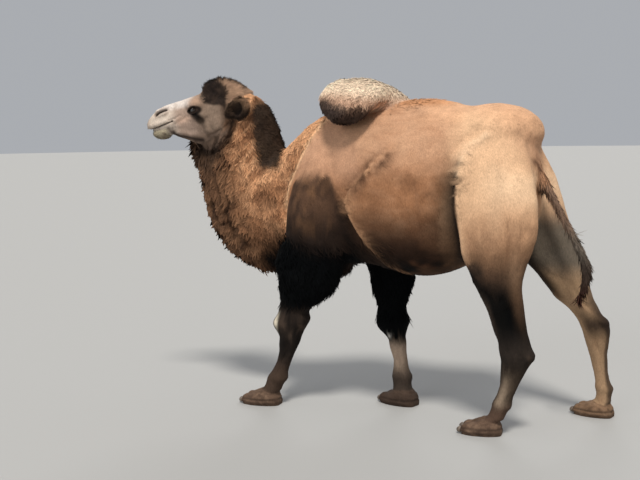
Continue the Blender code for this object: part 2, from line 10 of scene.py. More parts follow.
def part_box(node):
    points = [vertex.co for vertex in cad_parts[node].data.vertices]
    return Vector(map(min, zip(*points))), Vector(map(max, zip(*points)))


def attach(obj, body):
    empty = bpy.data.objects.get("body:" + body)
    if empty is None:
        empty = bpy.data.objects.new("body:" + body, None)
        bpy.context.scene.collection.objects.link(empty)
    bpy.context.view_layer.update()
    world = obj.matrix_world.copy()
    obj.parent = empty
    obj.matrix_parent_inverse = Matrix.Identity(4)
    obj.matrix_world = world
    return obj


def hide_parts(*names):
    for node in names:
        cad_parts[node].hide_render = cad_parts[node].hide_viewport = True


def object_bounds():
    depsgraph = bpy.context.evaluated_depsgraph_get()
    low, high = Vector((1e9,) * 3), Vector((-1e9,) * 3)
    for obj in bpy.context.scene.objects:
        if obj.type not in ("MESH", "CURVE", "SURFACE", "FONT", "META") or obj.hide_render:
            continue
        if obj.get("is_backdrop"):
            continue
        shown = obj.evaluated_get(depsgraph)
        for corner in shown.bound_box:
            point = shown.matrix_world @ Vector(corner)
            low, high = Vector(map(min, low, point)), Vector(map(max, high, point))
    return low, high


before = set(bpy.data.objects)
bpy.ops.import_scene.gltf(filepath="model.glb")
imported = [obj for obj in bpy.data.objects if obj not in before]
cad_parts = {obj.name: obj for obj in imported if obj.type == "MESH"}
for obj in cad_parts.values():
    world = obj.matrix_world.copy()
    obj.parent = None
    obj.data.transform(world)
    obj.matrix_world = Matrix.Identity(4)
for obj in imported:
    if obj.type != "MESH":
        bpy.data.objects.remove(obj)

cad_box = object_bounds()

# ---------------------------------------------------------------- frames of reference
FLESH = [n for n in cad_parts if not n.startswith(("eye_", "nail_"))]
NAILS = [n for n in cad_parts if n.startswith("nail_")]
FEET = [(pair, side) for pair in ("fore", "hind") for side in ("left", "right")]


def middle(node):
    lo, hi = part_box(node)
    return 0.5 * (Vector(lo) + Vector(hi))


HEAD_PITCH = math.radians(-8.0)
EYE_AHEAD = 0.224
EYE_UP = 0.051
eye_l = middle("eye_left")
eye_r = middle("eye_right")
HEAD_S = (eye_l - eye_r).normalized()
HEAD_S.z = 0.0
HEAD_S.normalize()
HEAD_F = Vector((HEAD_S.y, -HEAD_S.x, 0.0)) * math.cos(HEAD_PITCH)
HEAD_F.z = math.sin(HEAD_PITCH)
HEAD_U = HEAD_F.cross(HEAD_S)
if HEAD_U.z < 0.0:
    HEAD_U = -HEAD_U
HEAD_O = 0.5 * (eye_l + eye_r) - HEAD_F * EYE_AHEAD - HEAD_U * EYE_UP
HEAD_AXES = np.array([HEAD_F[:], HEAD_U[:], HEAD_S[:]])
head_f, head_u, head_s = HEAD_AXES


def in_head(points):
    """Points as ahead of the ears, up and to the left, in the head's own directions."""
    return (points - np.array(HEAD_O[:])) @ HEAD_AXES.T


# ---------------------------------------------------------------- small number tools
def ramp(value, start, end):
    t = np.clip((value - start) / (end - start), 0.0, 1.0)
    return t * t * (3.0 - 2.0 * t)


def fall(value, start, end):
    """1 before start, 0 after end."""
    return 1.0 - ramp(value, start, end)


def peak(gap, width):
    """1 where the gap is nothing, near 0 beyond twice the width."""
    return np.exp(-((gap / width) ** 2))


def bump_at(value, centre, width):
    return peak(value - centre, width)


def lattice(cells, seed):
    """A repeatable random number from 0 to 1 for each whole-number cell."""
    h = cells[..., 0] * 374761393 + cells[..., 1] * 668265263 + cells[..., 2] * 2147483647 + seed * 144665
    h = (h ^ (h >> 13)) * 1274126177
    h = h & 0x7FFFFFFF
    h = (h ^ (h >> 16)) * 2246822519 & 0x7FFFFFFF
    return (h % 65536) / 65535.0


def noise(points, scale, seed=0):
    """Smooth noise from -1 to 1 with features 1 / scale across."""
    q = np.asarray(points, np.float64) * scale + 1000.0
    base = np.floor(q).astype(np.int64)
    t = q - base
    t = t * t * (3.0 - 2.0 * t)
    total = np.zeros(len(q))
    for dx in (0, 1):
        for dy in (0, 1):
            for dz in (0, 1):
                share = (t[:, 0] if dx else 1.0 - t[:, 0]) * (t[:, 1] if dy else 1.0 - t[:, 1])
                share = share * (t[:, 2] if dz else 1.0 - t[:, 2])
                total += share * lattice(base + np.array((dx, dy, dz)), seed)
    return 2.0 * total - 1.0


def fractal(points, scale, seed=0, octaves=3):
    total = np.zeros(len(points))
    part = 1.0
    whole = 0.0
    for i in range(octaves):
        total += part * noise(points, scale * 2.0 ** i, seed + 17 * i)
        whole += part
        part *= 0.5
    return total / whole


def unit(vectors):
    return vectors / np.maximum(np.linalg.norm(vectors, axis=1, keepdims=True), 1e-9)


def line_distance(points, line):
    """Distance of points to a run of straight pieces, and how far along it (0 to 1) they are."""
    line = np.asarray(line, np.float64)
    best = np.full(len(points), 1e9)
    along = np.zeros(len(points))
    steps = len(line) - 1
    for i in range(steps):
        a = line[i]
        way = line[i + 1] - a
        t = np.clip(((points - a) @ way) / (way @ way), 0.0, 1.0)
        gap = np.linalg.norm(points - a - t[:, None] * way, axis=1)
        near = gap < best
        best[near] = gap[near]
        along[near] = (i + t[near]) / steps
    return best, along


def side_line(points, line):
    """Seen from the side: distance to a line of (y, z), how far along it, and which side of it.

    The line runs downwards; the last value grows towards the animal's rear.
    """
    flat = points[:, 1:3]
    line = np.asarray(line, np.float64)
    best = np.full(len(flat), 1e9)
    along = np.zeros(len(flat))
    side = np.zeros(len(flat))
    steps = len(line) - 1
    for i in range(steps):
        way = line[i + 1] - line[i]
        rel = flat - line[i]
        t = np.clip((rel @ way) / (way @ way), 0.0, 1.0)
        gap = np.linalg.norm(rel - t[:, None] * way, axis=1)
        cross = (way[0] * rel[:, 1] - way[1] * rel[:, 0]) / np.linalg.norm(way)
        near = gap < best
        best[near] = gap[near]
        along[near] = (i + t[near]) / steps
        side[near] = cross[near]
    return best, along, side


# ---------------------------------------------------------------- mesh tools
def mesh_numbers(mesh):
    spots = np.empty(len(mesh.vertices) * 3, np.float32)
    mesh.vertices.foreach_get("co", spots)
    return spots.reshape(-1, 3).astype(np.float64)


def mesh_normals(mesh):
    found = np.empty(len(mesh.vertices) * 3, np.float32)
    mesh.vertex_normals.foreach_get("vector", found)
    return found.reshape(-1, 3).astype(np.float64)


def set_points(mesh, points):
    mesh.vertices.foreach_set("co", np.asarray(points, np.float32).ravel())
    mesh.update()


def applied(obj):
    graph = bpy.context.evaluated_depsgraph_get()
    mesh = bpy.data.meshes.new_from_object(obj.evaluated_get(graph))
    obj.modifiers.clear()
    obj.data = mesh
    return mesh


def new_object(name, mesh):
    obj = bpy.data.objects.new(name, mesh)
    bpy.context.scene.collection.objects.link(obj)
    return obj


def vertex_weights(obj, name, values):
    group = obj.vertex_groups.new(name=name)
    levels = np.round(np.clip(values, 0.0, 1.0) * 20.0).astype(int)
    for level in range(1, 21):
        chosen = np.nonzero(levels == level)[0]
        if len(chosen):
            group.add(chosen.tolist(), level / 20.0, "REPLACE")
    return group


# ---------------------------------------------------------------- the skin
SKIN_VOXEL = 0.0050
GROW = 0.0007


def join_flesh():
    bm = bmesh.new()
    for name in FLESH:
        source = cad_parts[name].data
        mesh = source.copy()
        set_points(mesh, mesh_numbers(source) + GROW * mesh_normals(source))
        bm.from_mesh(mesh)
        bpy.data.meshes.remove(mesh)
    mesh = bpy.data.meshes.new("skin")
    bm.to_mesh(mesh)
    bm.free()
    mesh.materials.clear()
    return new_object("skin", mesh)


def keep_largest(mesh):
    """Drop the small shells left inside by the gaps between the parts."""
    count = len(mesh.vertices)
    edges = np.empty(len(mesh.edges) * 2, np.int32)
    mesh.edges.foreach_get("vertices", edges)
    edges = edges.reshape(-1, 2)
    label = np.arange(count)
    while True:
        low = np.minimum(label[edges[:, 0]], label[edges[:, 1]])
        fresh = label.copy()
        np.minimum.at(fresh, edges[:, 0], low)
        np.minimum.at(fresh, edges[:, 1], low)
        np.minimum.at(fresh, label[edges[:, 0]], low)
        np.minimum.at(fresh, label[edges[:, 1]], low)
        fresh = fresh[fresh]
        if np.array_equal(fresh, label):
            break
        label = fresh
    names, sizes = np.unique(label, return_counts=True)
    main = names[np.argmax(sizes)]
    if len(names) > 1:
        bm = bmesh.new()
        bm.from_mesh(mesh)
        bm.verts.ensure_lookup_table()
        bmesh.ops.delete(bm, geom=[bm.verts[i] for i in np.nonzero(label != main)[0]], context="VERTS")
        bm.to_mesh(mesh)
        bm.free()


skin = join_flesh()
remesh = skin.modifiers.new("fuse", "REMESH")
remesh.mode = "VOXEL"
remesh.voxel_size = SKIN_VOXEL
applied(skin)
keep_largest(skin.data)
points = mesh_numbers(skin.data)

head_at = in_head(points)
# 1 on the head and ears, 0 on the body
headness = ramp(head_at[:, 0], -0.17, -0.02) * ramp(points[:, 2], 1.36, 1.50)
ear_zone = np.zeros(len(points))
for tag in ("ear_left", "ear_right"):
    lo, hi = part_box(tag)
    lo = np.array(lo)
    hi = np.array(hi)
    off = np.maximum(np.maximum(lo - points, points - hi), 0.0)
    ear_zone = np.maximum(ear_zone, fall(np.linalg.norm(off, axis=1), 0.0, 0.03))
headness = np.maximum(headness, ear_zone)
legness = fall(points[:, 2], 0.45, 0.80)
tail_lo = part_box("tail")[0]
tailness = (
    ramp(points[:, 1], tail_lo[1] + 0.01, tail_lo[1] + 0.05) * (np.abs(points[:, 0] - 0.044) < 0.075)
)
tailness = tailness * (points[:, 2] > tail_lo[2] - 0.02)
slim = np.clip(np.maximum(legness, tailness), 0.0, 1.0)
vertex_weights(skin, "broad", (1.0 - headness) * (1.0 - slim))
vertex_weights(skin, "limb", (1.0 - headness) * slim)
vertex_weights(skin, "head", headness)
ankle = bump_at(points[:, 2], 0.115, 0.045)
vertex_weights(skin, "ankle", ankle)
for group, turns in (("broad", 130), ("limb", 26), ("ankle", 60), ("head", 6)):
    soften = skin.modifiers.new("soften_" + group, "SMOOTH")
    soften.factor = 0.5
    soften.iterations = turns
    soften.vertex_group = group
applied(skin)

vertex_weights(skin, "coarse", 1.0 - headness)
thin = skin.modifiers.new("thin", "DECIMATE")
thin.ratio = 0.21
thin.vertex_group = "coarse"
thin.vertex_group_factor = 1.0
thin.use_collapse_triangulate = True
applied(skin)
skin.vertex_groups.clear()


def refine(obj, chosen):
    """Split the edges of the faces round the chosen points once."""
    bm = bmesh.new()
    bm.from_mesh(obj.data)
    bm.verts.ensure_lookup_table()
    marked = set(np.nonzero(chosen)[0].tolist())
    edges = [e for e in bm.edges if e.verts[0].index in marked and e.verts[1].index in marked]
    bmesh.ops.subdivide_edges(bm, edges=edges, cuts=1, use_grid_fill=True, smooth=0.4)
    bmesh.ops.triangulate(bm, faces=[f for f in bm.faces if len(f.verts) > 3])
    bm.to_mesh(obj.data)
    bm.free()


at = in_head(mesh_numbers(skin.data))
near_eye = np.hypot(at[:, 0] - 0.220, at[:, 1] - 0.045) < 0.062
near_nose = (at[:, 0] > 0.350) & (at[:, 0] < 0.56)
refine(skin, (near_eye | near_nose) & (np.abs(at[:, 2]) < 0.13) & (np.abs(at[:, 1]) < 0.2))

# lines of form on the body
AXIS_X = 0.042


def mirrored(line):
    return [(2.0 * AXIS_X - a, b, c) for a, b, c in line]


def rounded(line):
    """The same line with its corners cut twice."""
    line = np.array(line)
    for _ in range(2):
        first = 0.75 * line[:-1] + 0.25 * line[1:]
        second = 0.25 * line[:-1] + 0.75 * line[1:]
        inner = np.column_stack((first, second)).reshape(-1, 2)
        line = np.vstack((line[:1], inner, line[-1:]))
    return line


# as (y, z) in metres, each from its top to its foot
FLANK = rounded((
    (0.640, 1.440), (0.618, 1.326), (0.615, 1.224), (0.622, 1.121),
    (0.630, 1.016), (0.640, 0.938), (0.668, 0.872), (0.716, 0.826),
))
FLANK_FAR = rounded(((0.650, 1.440), (0.630, 1.326), (0.622, 1.224), (0.640, 1.042), (0.700, 0.930)))
BARREL_FRONT = rounded((
    (0.210, 1.451), (0.110, 1.362), (0.020, 1.275), (-0.020, 1.190), (0.022, 1.091),
    (0.076, 1.005), (0.132, 0.925), (0.185, 0.842), (0.300, 0.795),
))
SHOULDER_LINE = (
    (-0.225, 1.620), (-0.281, 1.529), (-0.319, 1.440), (-0.352, 1.362), (-0.392, 1.284),
    (-0.408, 1.221), (-0.408, 1.159), (-0.402, 1.071), (-0.415, 0.990),
)
FAR_SHOULDER_SHIFT = 0.110
SHOULDER_FRONT = rounded(SHOULDER_LINE)
FAR_SHOULDER_FRONT = rounded([(a + FAR_SHOULDER_SHIFT, b) for a, b in SHOULDER_LINE])
SIDE_FORMS = (FLANK, BARREL_FRONT, SHOULDER_FRONT)
SIDE_FROM = 0.09
FOOT_TOP = 0.10
points = mesh_numbers(skin.data)
on_side = np.abs(points[:, 0] - AXIS_X) > SIDE_FROM
wanted = points[:, 2] < FOOT_TOP
for line in SIDE_FORMS:
    wanted |= (side_line(points, line)[0] < 0.045) & on_side
refine(skin, wanted)
points = mesh_numbers(skin.data)
near_side = points[:, 0] - AXIS_X > SIDE_FROM
wanted = np.zeros(len(points), bool)
for line in SIDE_FORMS:
    wanted |= (side_line(points, line)[0] < 0.028) & near_side
refine(skin, wanted)

# ---------------------------------------------------------------- what lies where
points = mesh_numbers(skin.data)
count = len(points)
edges = np.empty(len(skin.data.edges) * 2, np.int32)
skin.data.edges.foreach_get("vertices", edges)
edges = edges.reshape(-1, 2)
degree = np.bincount(edges.ravel(), minlength=count)


def spread(values, times):
    """Even a value out over neighbouring skin points."""
    for _ in range(times):
        total = np.bincount(edges[:, 0], values[edges[:, 1]], count)
        total += np.bincount(edges[:, 1], values[edges[:, 0]], count)
        values = 0.5 * values + 0.5 * total / degree
    return values


def nearest_nodes(points):
    corners = []
    faces = []
    owners = []
    for k, name in enumerate(FLESH):
        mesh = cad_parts[name].data
        start = len(corners)
        corners += [v.co.copy() for v in mesh.vertices]
        for face in mesh.polygons:
            faces.append([start + i for i in face.vertices])
            owners.append(k)
    tree = BVHTree.FromPolygons(corners, faces)
    return np.array([owners[tree.find_nearest(p)[2]] for p in points])


owner = nearest_nodes(points.tolist())


def zone(*starts, times=14):
    """How far each skin point belongs to the nodes whose names start so, with soft borders."""
    wanted = [k for k, name in enumerate(FLESH) if name.startswith(starts)]
    return spread(np.isin(owner, wanted).astype(float), times)


x = points[:, 0] - AXIS_X
# the parts meet in soft dips: even them out where a line of form will be raised
near_line = np.zeros(count)
for line in SIDE_FORMS:
    near_line = np.maximum(near_line, fall(side_line(points, line)[0], 0.035, 0.060))
near_line = spread(near_line * ramp(np.abs(x), 0.06, 0.11), 3)
even = np.column_stack([spread(points[:, k], 36) for k in range(3)])
points = points + (even - points) * near_line[:, None]
set_points(skin.data, points)
x = points[:, 0] - AXIS_X
y = points[:, 1]
z = points[:, 2]
normals = mesh_normals(skin.data)
at = in_head(points)
ahead = at[:, 0]
up = at[:, 1]
aside = np.abs(at[:, 2])
on_head = np.clip(zone("head", "jaw", times=4) + zone("ear", times=2), 0.0, 1.0)
on_ear = zone("ear", times=2)
on_hump = zone("hump_front", times=8)
on_rear_hump = zone("hump_rear", times=20)
on_tail = zone("tail", times=4)
on_foot = zone("foot", times=4)
on_neck = zone("neck", times=16)
fore_left = zone("leg_fore_left", "foot_fore_left", times=8)
fore_right = zone("leg_fore_right", "foot_fore_right", times=8)
hind_left = zone("leg_hind_left", "foot_hind_left", times=10)
hind_right = zone("leg_hind_right", "foot_hind_right", times=10)
body = np.clip(1.0 - on_head - on_tail, 0.0, 1.0)
calm = unit(np.column_stack([spread(normals[:, k], 10) for k in range(3)]))
push = unit(calm + (normals - calm) * on_head[:, None])


# ---------------------------------------------------------------- depth of the coat
depth = np.full(count, 0.0045)


def settle(target, share, value):
    target += (value - target) * share


throat_line = np.interp(z, (0.80, 0.95, 1.10, 1.30, 1.50), (-0.70, -0.80, -0.86, -0.90, -0.93))
neck_front = on_neck * ramp(throat_line - y, -0.06, 0.06) * (1.0 - on_head)
nape_edge = np.interp(z, (1.38, 1.50, 1.62, 1.73, 1.80), (-0.606, -0.634, -0.642, -0.646, -0.620))
nape = (1.0 - on_head) * ramp(y - nape_edge, -0.010, 0.014) * ramp(z, 1.365, 1.400) * fall(z, 1.75, 1.80)
nape = nape * fall(y, -0.492, -0.462)
settle(depth, on_neck, 0.011)
settle(depth, neck_front, 0.020 + 0.016 * ramp(z, 1.30, 1.50))
settle(depth, nape, 0.018)
shag_top = (
    np.interp(y, (-0.50, -0.40, -0.25, -0.08), (1.020, 1.005, 0.965, 0.930))
    + 0.024 * fractal(points, 9.0, 91)
)
shag = fore_left * ramp(z, 0.585, 0.64) * fall(z - shag_top, -0.02, 0.03)
shag_far = fore_right * ramp(z, 0.50, 0.58) * fall(z, 0.90, 0.95)
shag = np.maximum(
    shag, ramp(np.minimum(z - 0.60, shag_top - z), 0.0, 0.03) * (y < -0.06) * (x > 0.10) * (y > -0.50)
)
settle(depth, shag, 0.022)
settle(depth, shag_far, 0.010)
brisket = body * ramp(z, 0.70, 0.76) * fall(z, 0.88, 1.02) * ramp(y, -0.20, -0.08) * fall(y, 0.14, 0.30)
settle(depth, brisket * (1.0 - shag), 0.012)
settle(depth, on_hump, 0.008)
settle(depth, on_tail, 0.016)
settle(depth, np.clip(fall(z, 0.46, 0.62), 0, 1) * body, 0.0025)
crown = on_head * ramp(up, 0.075, 0.14) * ramp(ahead, -0.16, -0.10) * fall(ahead, 0.155, 0.185)
settle(depth, on_head, 0.0026)
settle(depth, crown, 0.018)
settle(depth, on_ear, 0.0010)
settle(depth, on_foot, 0.0012)
depth = spread(depth, 12)
sink = -depth

# ---------------------------------------------------------------- forms of the body


def groove(line, width, deep):
    gap, _ = line_distance(points, line)
    return -deep * peak(gap, width)


def fold(line, high, low, high_width, low_width, sharp, hand):
    """A fold along a line of the side view, on one side of the body.

    (
        The skin is raised behind the line and sunk in front of it,
        by heights given for each point of the line.
    )
    """
    gap, along, side = side_line(points, line)
    places = np.linspace(0.0, 1.0, len(high))
    step = 0.5 + 0.5 * np.tanh(side / sharp)
    raised = np.interp(along, places, high) * peak(gap, high_width)
    sunk = np.interp(along, places, low) * peak(gap, low_width)
    return ramp(hand * x, 0.05, 0.12) * (step * raised - (1.0 - step) * sunk)


FLANK_HIGH = (0.000, 0.011, 0.014, 0.014, 0.014, 0.012, 0.010, 0.000)
FLANK_LOW = (0.010, 0.026, 0.030, 0.030, 0.028, 0.022, 0.014, 0.000)
form = fold(FLANK, FLANK_HIGH, FLANK_LOW, 0.055, 0.070, 0.009, 1.0)
form += fold(
    FLANK_FAR, (0.0, 0.008, 0.012, 0.010, 0.0), (0.0, 0.014, 0.020, 0.018, 0.0), 0.055, 0.060, 0.010, -1.0
)
FRONT_HIGH = (0.000, 0.005, 0.009, 0.012, 0.014, 0.014, 0.010, 0.003, 0.000)
FRONT_LOW = (0.000, 0.005, 0.010, 0.020, 0.026, 0.026, 0.018, 0.006, 0.000)
form += fold(BARREL_FRONT, FRONT_HIGH, FRONT_LOW, 0.060, 0.055, 0.009, 1.0)
form += fold(BARREL_FRONT, FRONT_HIGH, FRONT_LOW, 0.060, 0.055, 0.012, -1.0)
BLADE_HIGH = (0.000, 0.004, 0.005, 0.005, 0.005, 0.006, 0.006, 0.004, 0.000)
BLADE_LOW = (0.000, 0.004, 0.006, 0.008, 0.010, 0.010, 0.010, 0.006, 0.000)
form += fold(SHOULDER_FRONT, BLADE_HIGH, BLADE_LOW, 0.040, 0.045, 0.006, 1.0)
form += fold(FAR_SHOULDER_FRONT, BLADE_HIGH, BLADE_LOW, 0.040, 0.045, 0.012, -1.0)
THIGH_CREASE = ((0.328, 0.893, 1.110), (0.329, 0.898, 1.030), (0.318, 0.890, 0.950))
# ridge that rises from the fold of the flank over the point of the hip
HIP = (
    (0.330, 0.617, 1.351), (0.320, 0.623, 1.401), (0.297, 0.647, 1.461), (0.267, 0.690, 1.511),
    (0.249, 0.753, 1.551)
)
BEFORE_HIP = [(a, b - 0.035, c + 0.025) for a, b, c in HIP]
# line, width and depth of each groove, or with a depth below 0 of each ridge
BODY_GROOVES = (
    # edge of the shoulder blade and the muscles over it
    (
        ((0.250, -0.060, 1.600), (0.300, -0.120, 1.450), (0.310, -0.180, 1.300), (0.310, -0.240, 1.150)),
        0.050, -0.007
    ),
    (((0.265, -0.120, 1.430), (0.300, -0.100, 1.300), (0.312, -0.080, 1.180)), 0.030, 0.007),
    # folds of hide behind the shoulder and on the ribs
    (((0.352, 0.268, 1.400), (0.352, 0.190, 1.290), (0.345, 0.135, 1.190)), 0.020, 0.008),
    (((0.358, 0.330, 1.380), (0.360, 0.260, 1.280), (0.355, 0.200, 1.190)), 0.018, 0.005),
    (((0.365, 0.470, 1.050), (0.355, 0.540, 1.120), (0.345, 0.590, 1.230)), 0.016, 0.004),
    # the thigh
    (THIGH_CREASE, 0.013, 0.009),
    (((0.300, 0.960, 1.080), (0.290, 0.950, 0.960), (0.285, 0.945, 0.860)), 0.014, 0.007),
    (((0.325, 0.780, 1.040), (0.322, 0.800, 0.960), (0.312, 0.830, 0.860)), 0.020, 0.009),
    # the hip, the hollow before it and the ridge that meets it
    (HIP, 0.020, -0.008),
    (BEFORE_HIP, 0.030, 0.008),
    (((0.355, 0.534, 1.356), (0.342, 0.578, 1.361), (0.330, 0.611, 1.368)), 0.012, -0.005),
    (((0.290, 0.520, 1.430), (0.310, 0.570, 1.350)), 0.050, 0.009),
    (((0.180, 0.880, 1.520), (0.240, 0.900, 1.400)), 0.050, 0.007),
)
for line, width, deep in BODY_GROOVES:
    form += groove(line, width, deep)

# ---------------------------------------------------------------- forms of the legs


def slices(nodes, height):
    """Lowest and highest y of the solids named, where they pass a height."""
    found = np.concatenate([mesh_numbers(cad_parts[n].data) for n in nodes])
    off = np.abs(found[:, 2] - height)
    close = found[off < max(0.035, np.sort(off)[9])]
    return close[:, 1].min(), close[:, 1].max()


LEVELS = np.arange(0.12, 0.96, 0.05)
form *= body
FETLOCK = 0.165
LEGS = (
    ("fore", "left", fore_left, 0.485),
    ("fore", "right", fore_right, 0.455),
    ("hind", "left", hind_left, 0.425),
    ("hind", "right", hind_right, 0.545),
)
# how far each form stands out or in, on which face of the leg, its place and width from front to rear,
# and its height above the knee or hock and width in height
LEG_FORMS = {
    "hind": (
        (-0.015, "flank", (0.68, 0.13), 0.150, 0.085),
        (0.014, "rear", None, 0.0, 0.026),
        (0.008, "flank", (0.40, 0.22), -0.020, 0.045),
        (-0.010, "flank", (0.72, 0.12), -0.010, 0.040),
        (-0.007, "flank", (0.60, 0.12), -0.170, 0.090),
        (-0.006, "front", None, 0.075, 0.030),
    ),
    "fore": (
        (0.013, "front", None, 0.0, 0.040),
        (0.012, "rear", None, 0.030, 0.026),
        (-0.006, "rear", None, -0.055, 0.030),
        (0.006, "flank", (0.35, 0.22), 0.010, 0.045),
        (-0.006, "flank", (0.72, 0.10), 0.0, 0.060),
        (-0.008, "flank", (0.62, 0.12), -0.180, 0.090),
        (-0.007, "front", None, -0.080, 0.030),
    ),
}
for pair, side, share, joint_height in LEGS:
    nodes = ["leg_%s_%s_%s" % (pair, side, part) for part in ("upper", "lower")]
    fronts, rears = np.array([slices(nodes, level) for level in LEVELS]).T
    y_low = np.interp(z, LEVELS, fronts)
    y_high = np.interp(z, LEVELS, rears)
    # 0 at the front of the leg and 1 at its rear
    back = (y - y_low) / (y_high - y_low)
    faces_of_leg = {
        "flank": np.abs(normals[:, 0]) * share,
        "front": ramp(-normals[:, 1], 0.2, 0.8) * share,
        "rear": ramp(normals[:, 1], 0.2, 0.8) * share,
    }
    for height, which, across, level, width in LEG_FORMS[pair]:
        part = height * faces_of_leg[which]
        if across:
            part = part * bump_at(back, *across)
        form += part * bump_at(z, joint_height + level, width)
    if pair == "hind":
        form += 0.010 * faces_of_leg["flank"] * bump_at(back, 0.35, 0.22) * bump_at(z, 0.760, 0.090)
    form += 0.008 * share * bump_at(z, FETLOCK, 0.028)
    form += 0.006 * faces_of_leg["rear"] * bump_at(z, FETLOCK - 0.010, 0.022)

soft_lumps = fractal(points, 7.0, 3) * 0.0035 + fractal(points, 19.0, 5) * 0.0016
form += soft_lumps * body * (1.0 - on_foot) * ramp(z, 0.30, 0.60)
form += fractal(points, 22.0, 13) * 0.0018 * body * (1.0 - on_foot) * fall(z, 0.30, 0.60)
# the wool of the neck runs on over the trunk as far as the front of the shoulder
before_blade = np.zeros(count)
for line, hand in ((SHOULDER_FRONT, 1.0), (FAR_SHOULDER_FRONT, -1.0)):
    gap, along, side = side_line(points, line)
    own = ramp(hand * x, -0.02, 0.02) * fall(side, -0.016, -0.004)
    before_blade = np.maximum(before_blade, own * body * ramp(z, 1.00, 1.06))
neck_wool = np.maximum(on_neck * (1.0 - on_head), before_blade)
woolly = np.clip(neck_wool + 0.8 * on_hump, 0.0, 1.0) * (1.0 - on_head)
form += fractal(points, 28.0, 9) * 0.0045 * woolly
form += fractal(points, 30.0, 11) * 0.006 * shag

# locks of wool over the front of the neck, parted by narrow gaps that run down and forward
LOCK_WAY = unit(np.array([[0.0, 0.58, 0.81]]))[0]
lock_at = points - np.outer(points @ LOCK_WAY, LOCK_WAY) * 0.68
locks = np.abs(fractal(lock_at, 31.0, 15, 2))
lock_gap = fall(locks, 0.045, 0.150)
front_wool = on_neck * (1.0 - on_head) * ramp(throat_line - y, -0.24, -0.06) * (1.0 - nape)
form += front_wool * (0.005 - (0.018 + 0.008 * fall(z, 0.95, 1.15)) * lock_gap)

# crease where the front hump lies on the back
hump_edge = 4.0 * on_hump * (1.0 - on_hump) * (1.0 - on_neck)
form -= 0.016 * hump_edge * ramp(points[:, 0], 0.10, 0.22)

# toes: a cleft between the two nails, and the edge of the pad
for pair, side in FEET:
    foot = "foot_%s_%s" % (pair, side)
    lo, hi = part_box(foot)
    inner = middle("nail_%s_%s_inner" % (pair, side))
    outer = middle("nail_%s_%s_outer" % (pair, side))
    cleft_x = 0.5 * (inner.x + outer.x)
    own = spread((owner == FLESH.index(foot)).astype(float), 3)
    fore_part = fall(y, lo[1] + 0.10, lo[1] + 0.17)
    high = ramp(z, 0.012, 0.030)
    cleft = peak(points[:, 0] - cleft_x, 0.009)
    form -= 0.018 * own * cleft * fore_part * high
    form -= 0.0030 * own * bump_at(z + 0.004 * fractal(points, 14.0, 93), 0.036, 0.007)
    form += own * high * 0.0022 * fractal(points, 45.0, 95)
    wrinkle = np.sin(420.0 * (points[:, 2] + 0.25 * points[:, 1]) + 3.0 * fractal(points, 16.0, 97))
    form += own * 0.0011 * wrinkle * ramp(z, 0.045, 0.075)
    for nail in (inner, outer):
        cuff = np.linalg.norm(points - np.array((nail.x, nail.y + 0.018, nail.z + 0.006)), axis=1)
        form += 0.005 * own * bump_at(cuff, 0.030, 0.012) * high

# ---------------------------------------------------------------- forms of the head


def head_groove(line, width, deep, side_low):
    """A fold given by (ahead, up) points, on both sides of the head."""
    flat = np.column_stack((ahead, up, np.zeros(count)))
    gap, _ = line_distance(flat, [(a, b, 0.0) for a, b in line])
    return -deep * peak(gap, width) * (aside > side_low) * on_head * (1.0 - on_ear)


MOUTH = ((0.560, -0.024), (0.512, -0.021), (0.460, -0.014), (0.408, -0.001), (0.372, 0.010))
NOSTRIL = ((0.468, 0.058), (0.445, 0.070), (0.420, 0.078), (0.398, 0.082))
CHEEK_EDGE = ((0.386, -0.066), (0.345, -0.088), (0.300, -0.102), (0.250, -0.120), (0.205, -0.130))
# line, width, depth (below 0 for a swelling) and the distance from the middle where it starts
HEAD_FOLDS = (
    (MOUTH, 0.0050, 0.0105, 0.0),
    (((0.545, -0.006), (0.505, 0.000), (0.460, 0.008), (0.410, 0.020)), 0.012, -0.0048, 0.0),
    (((0.505, -0.045), (0.465, -0.047), (0.430, -0.044)), 0.014, -0.0040, 0.0),
    (NOSTRIL, 0.0076, 0.0160, 0.014),
    (((0.466, 0.048), (0.430, 0.055), (0.398, 0.064)), 0.009, -0.0050, 0.016),
    (((0.458, 0.082), (0.425, 0.091), (0.392, 0.098)), 0.008, -0.0045, 0.012),
    (((0.390, 0.017), (0.352, 0.024), (0.318, 0.036)), 0.007, 0.0055, 0.02),
    (((0.375, 0.006), (0.372, -0.030), (0.385, -0.055)), 0.009, 0.0075, 0.015),
    (CHEEK_EDGE, 0.010, 0.0070, 0.02),
    (((0.300, -0.122), (0.260, -0.138), (0.225, -0.150)), 0.008, -0.0035, 0.02),
    (((0.077, -0.085), (0.115, -0.104), (0.160, -0.112)), 0.009, 0.0060, 0.03),
    (((0.196, -0.030), (0.186, -0.060), (0.180, -0.090)), 0.010, 0.0055, 0.04),
    (((0.150, -0.010), (0.140, -0.045), (0.130, -0.080)), 0.011, 0.0045, 0.04),
    (((0.270, 0.020), (0.320, 0.004), (0.350, -0.010)), 0.012, 0.0045, 0.03),
    (((0.215, 0.020), (0.196, -0.004), (0.182, -0.024)), 0.011, 0.0070, 0.03),
)
face = np.zeros(count)
for line, width, deep, side_low in HEAD_FOLDS:
    face += head_groove(line, width, deep, side_low)
# bony brow above each eye, hollow temple behind it
face += 0.0070 * bump_at(ahead, 0.215, 0.045) * bump_at(up, 0.092, 0.017) * (aside > 0.04) * on_head
face -= 0.0060 * bump_at(ahead, 0.130, 0.030) * bump_at(up, 0.070, 0.025) * (aside > 0.05) * on_head
# the split of the upper lip
face -= 0.0060 * peak(at[:, 2], 0.0040) * ramp(ahead, 0.500, 0.530) * ramp(up, -0.030, -0.010) * on_head
face += fractal(points, 60.0, 21) * 0.0010 * on_head

points = points + push * (sink + form + face)[:, None]
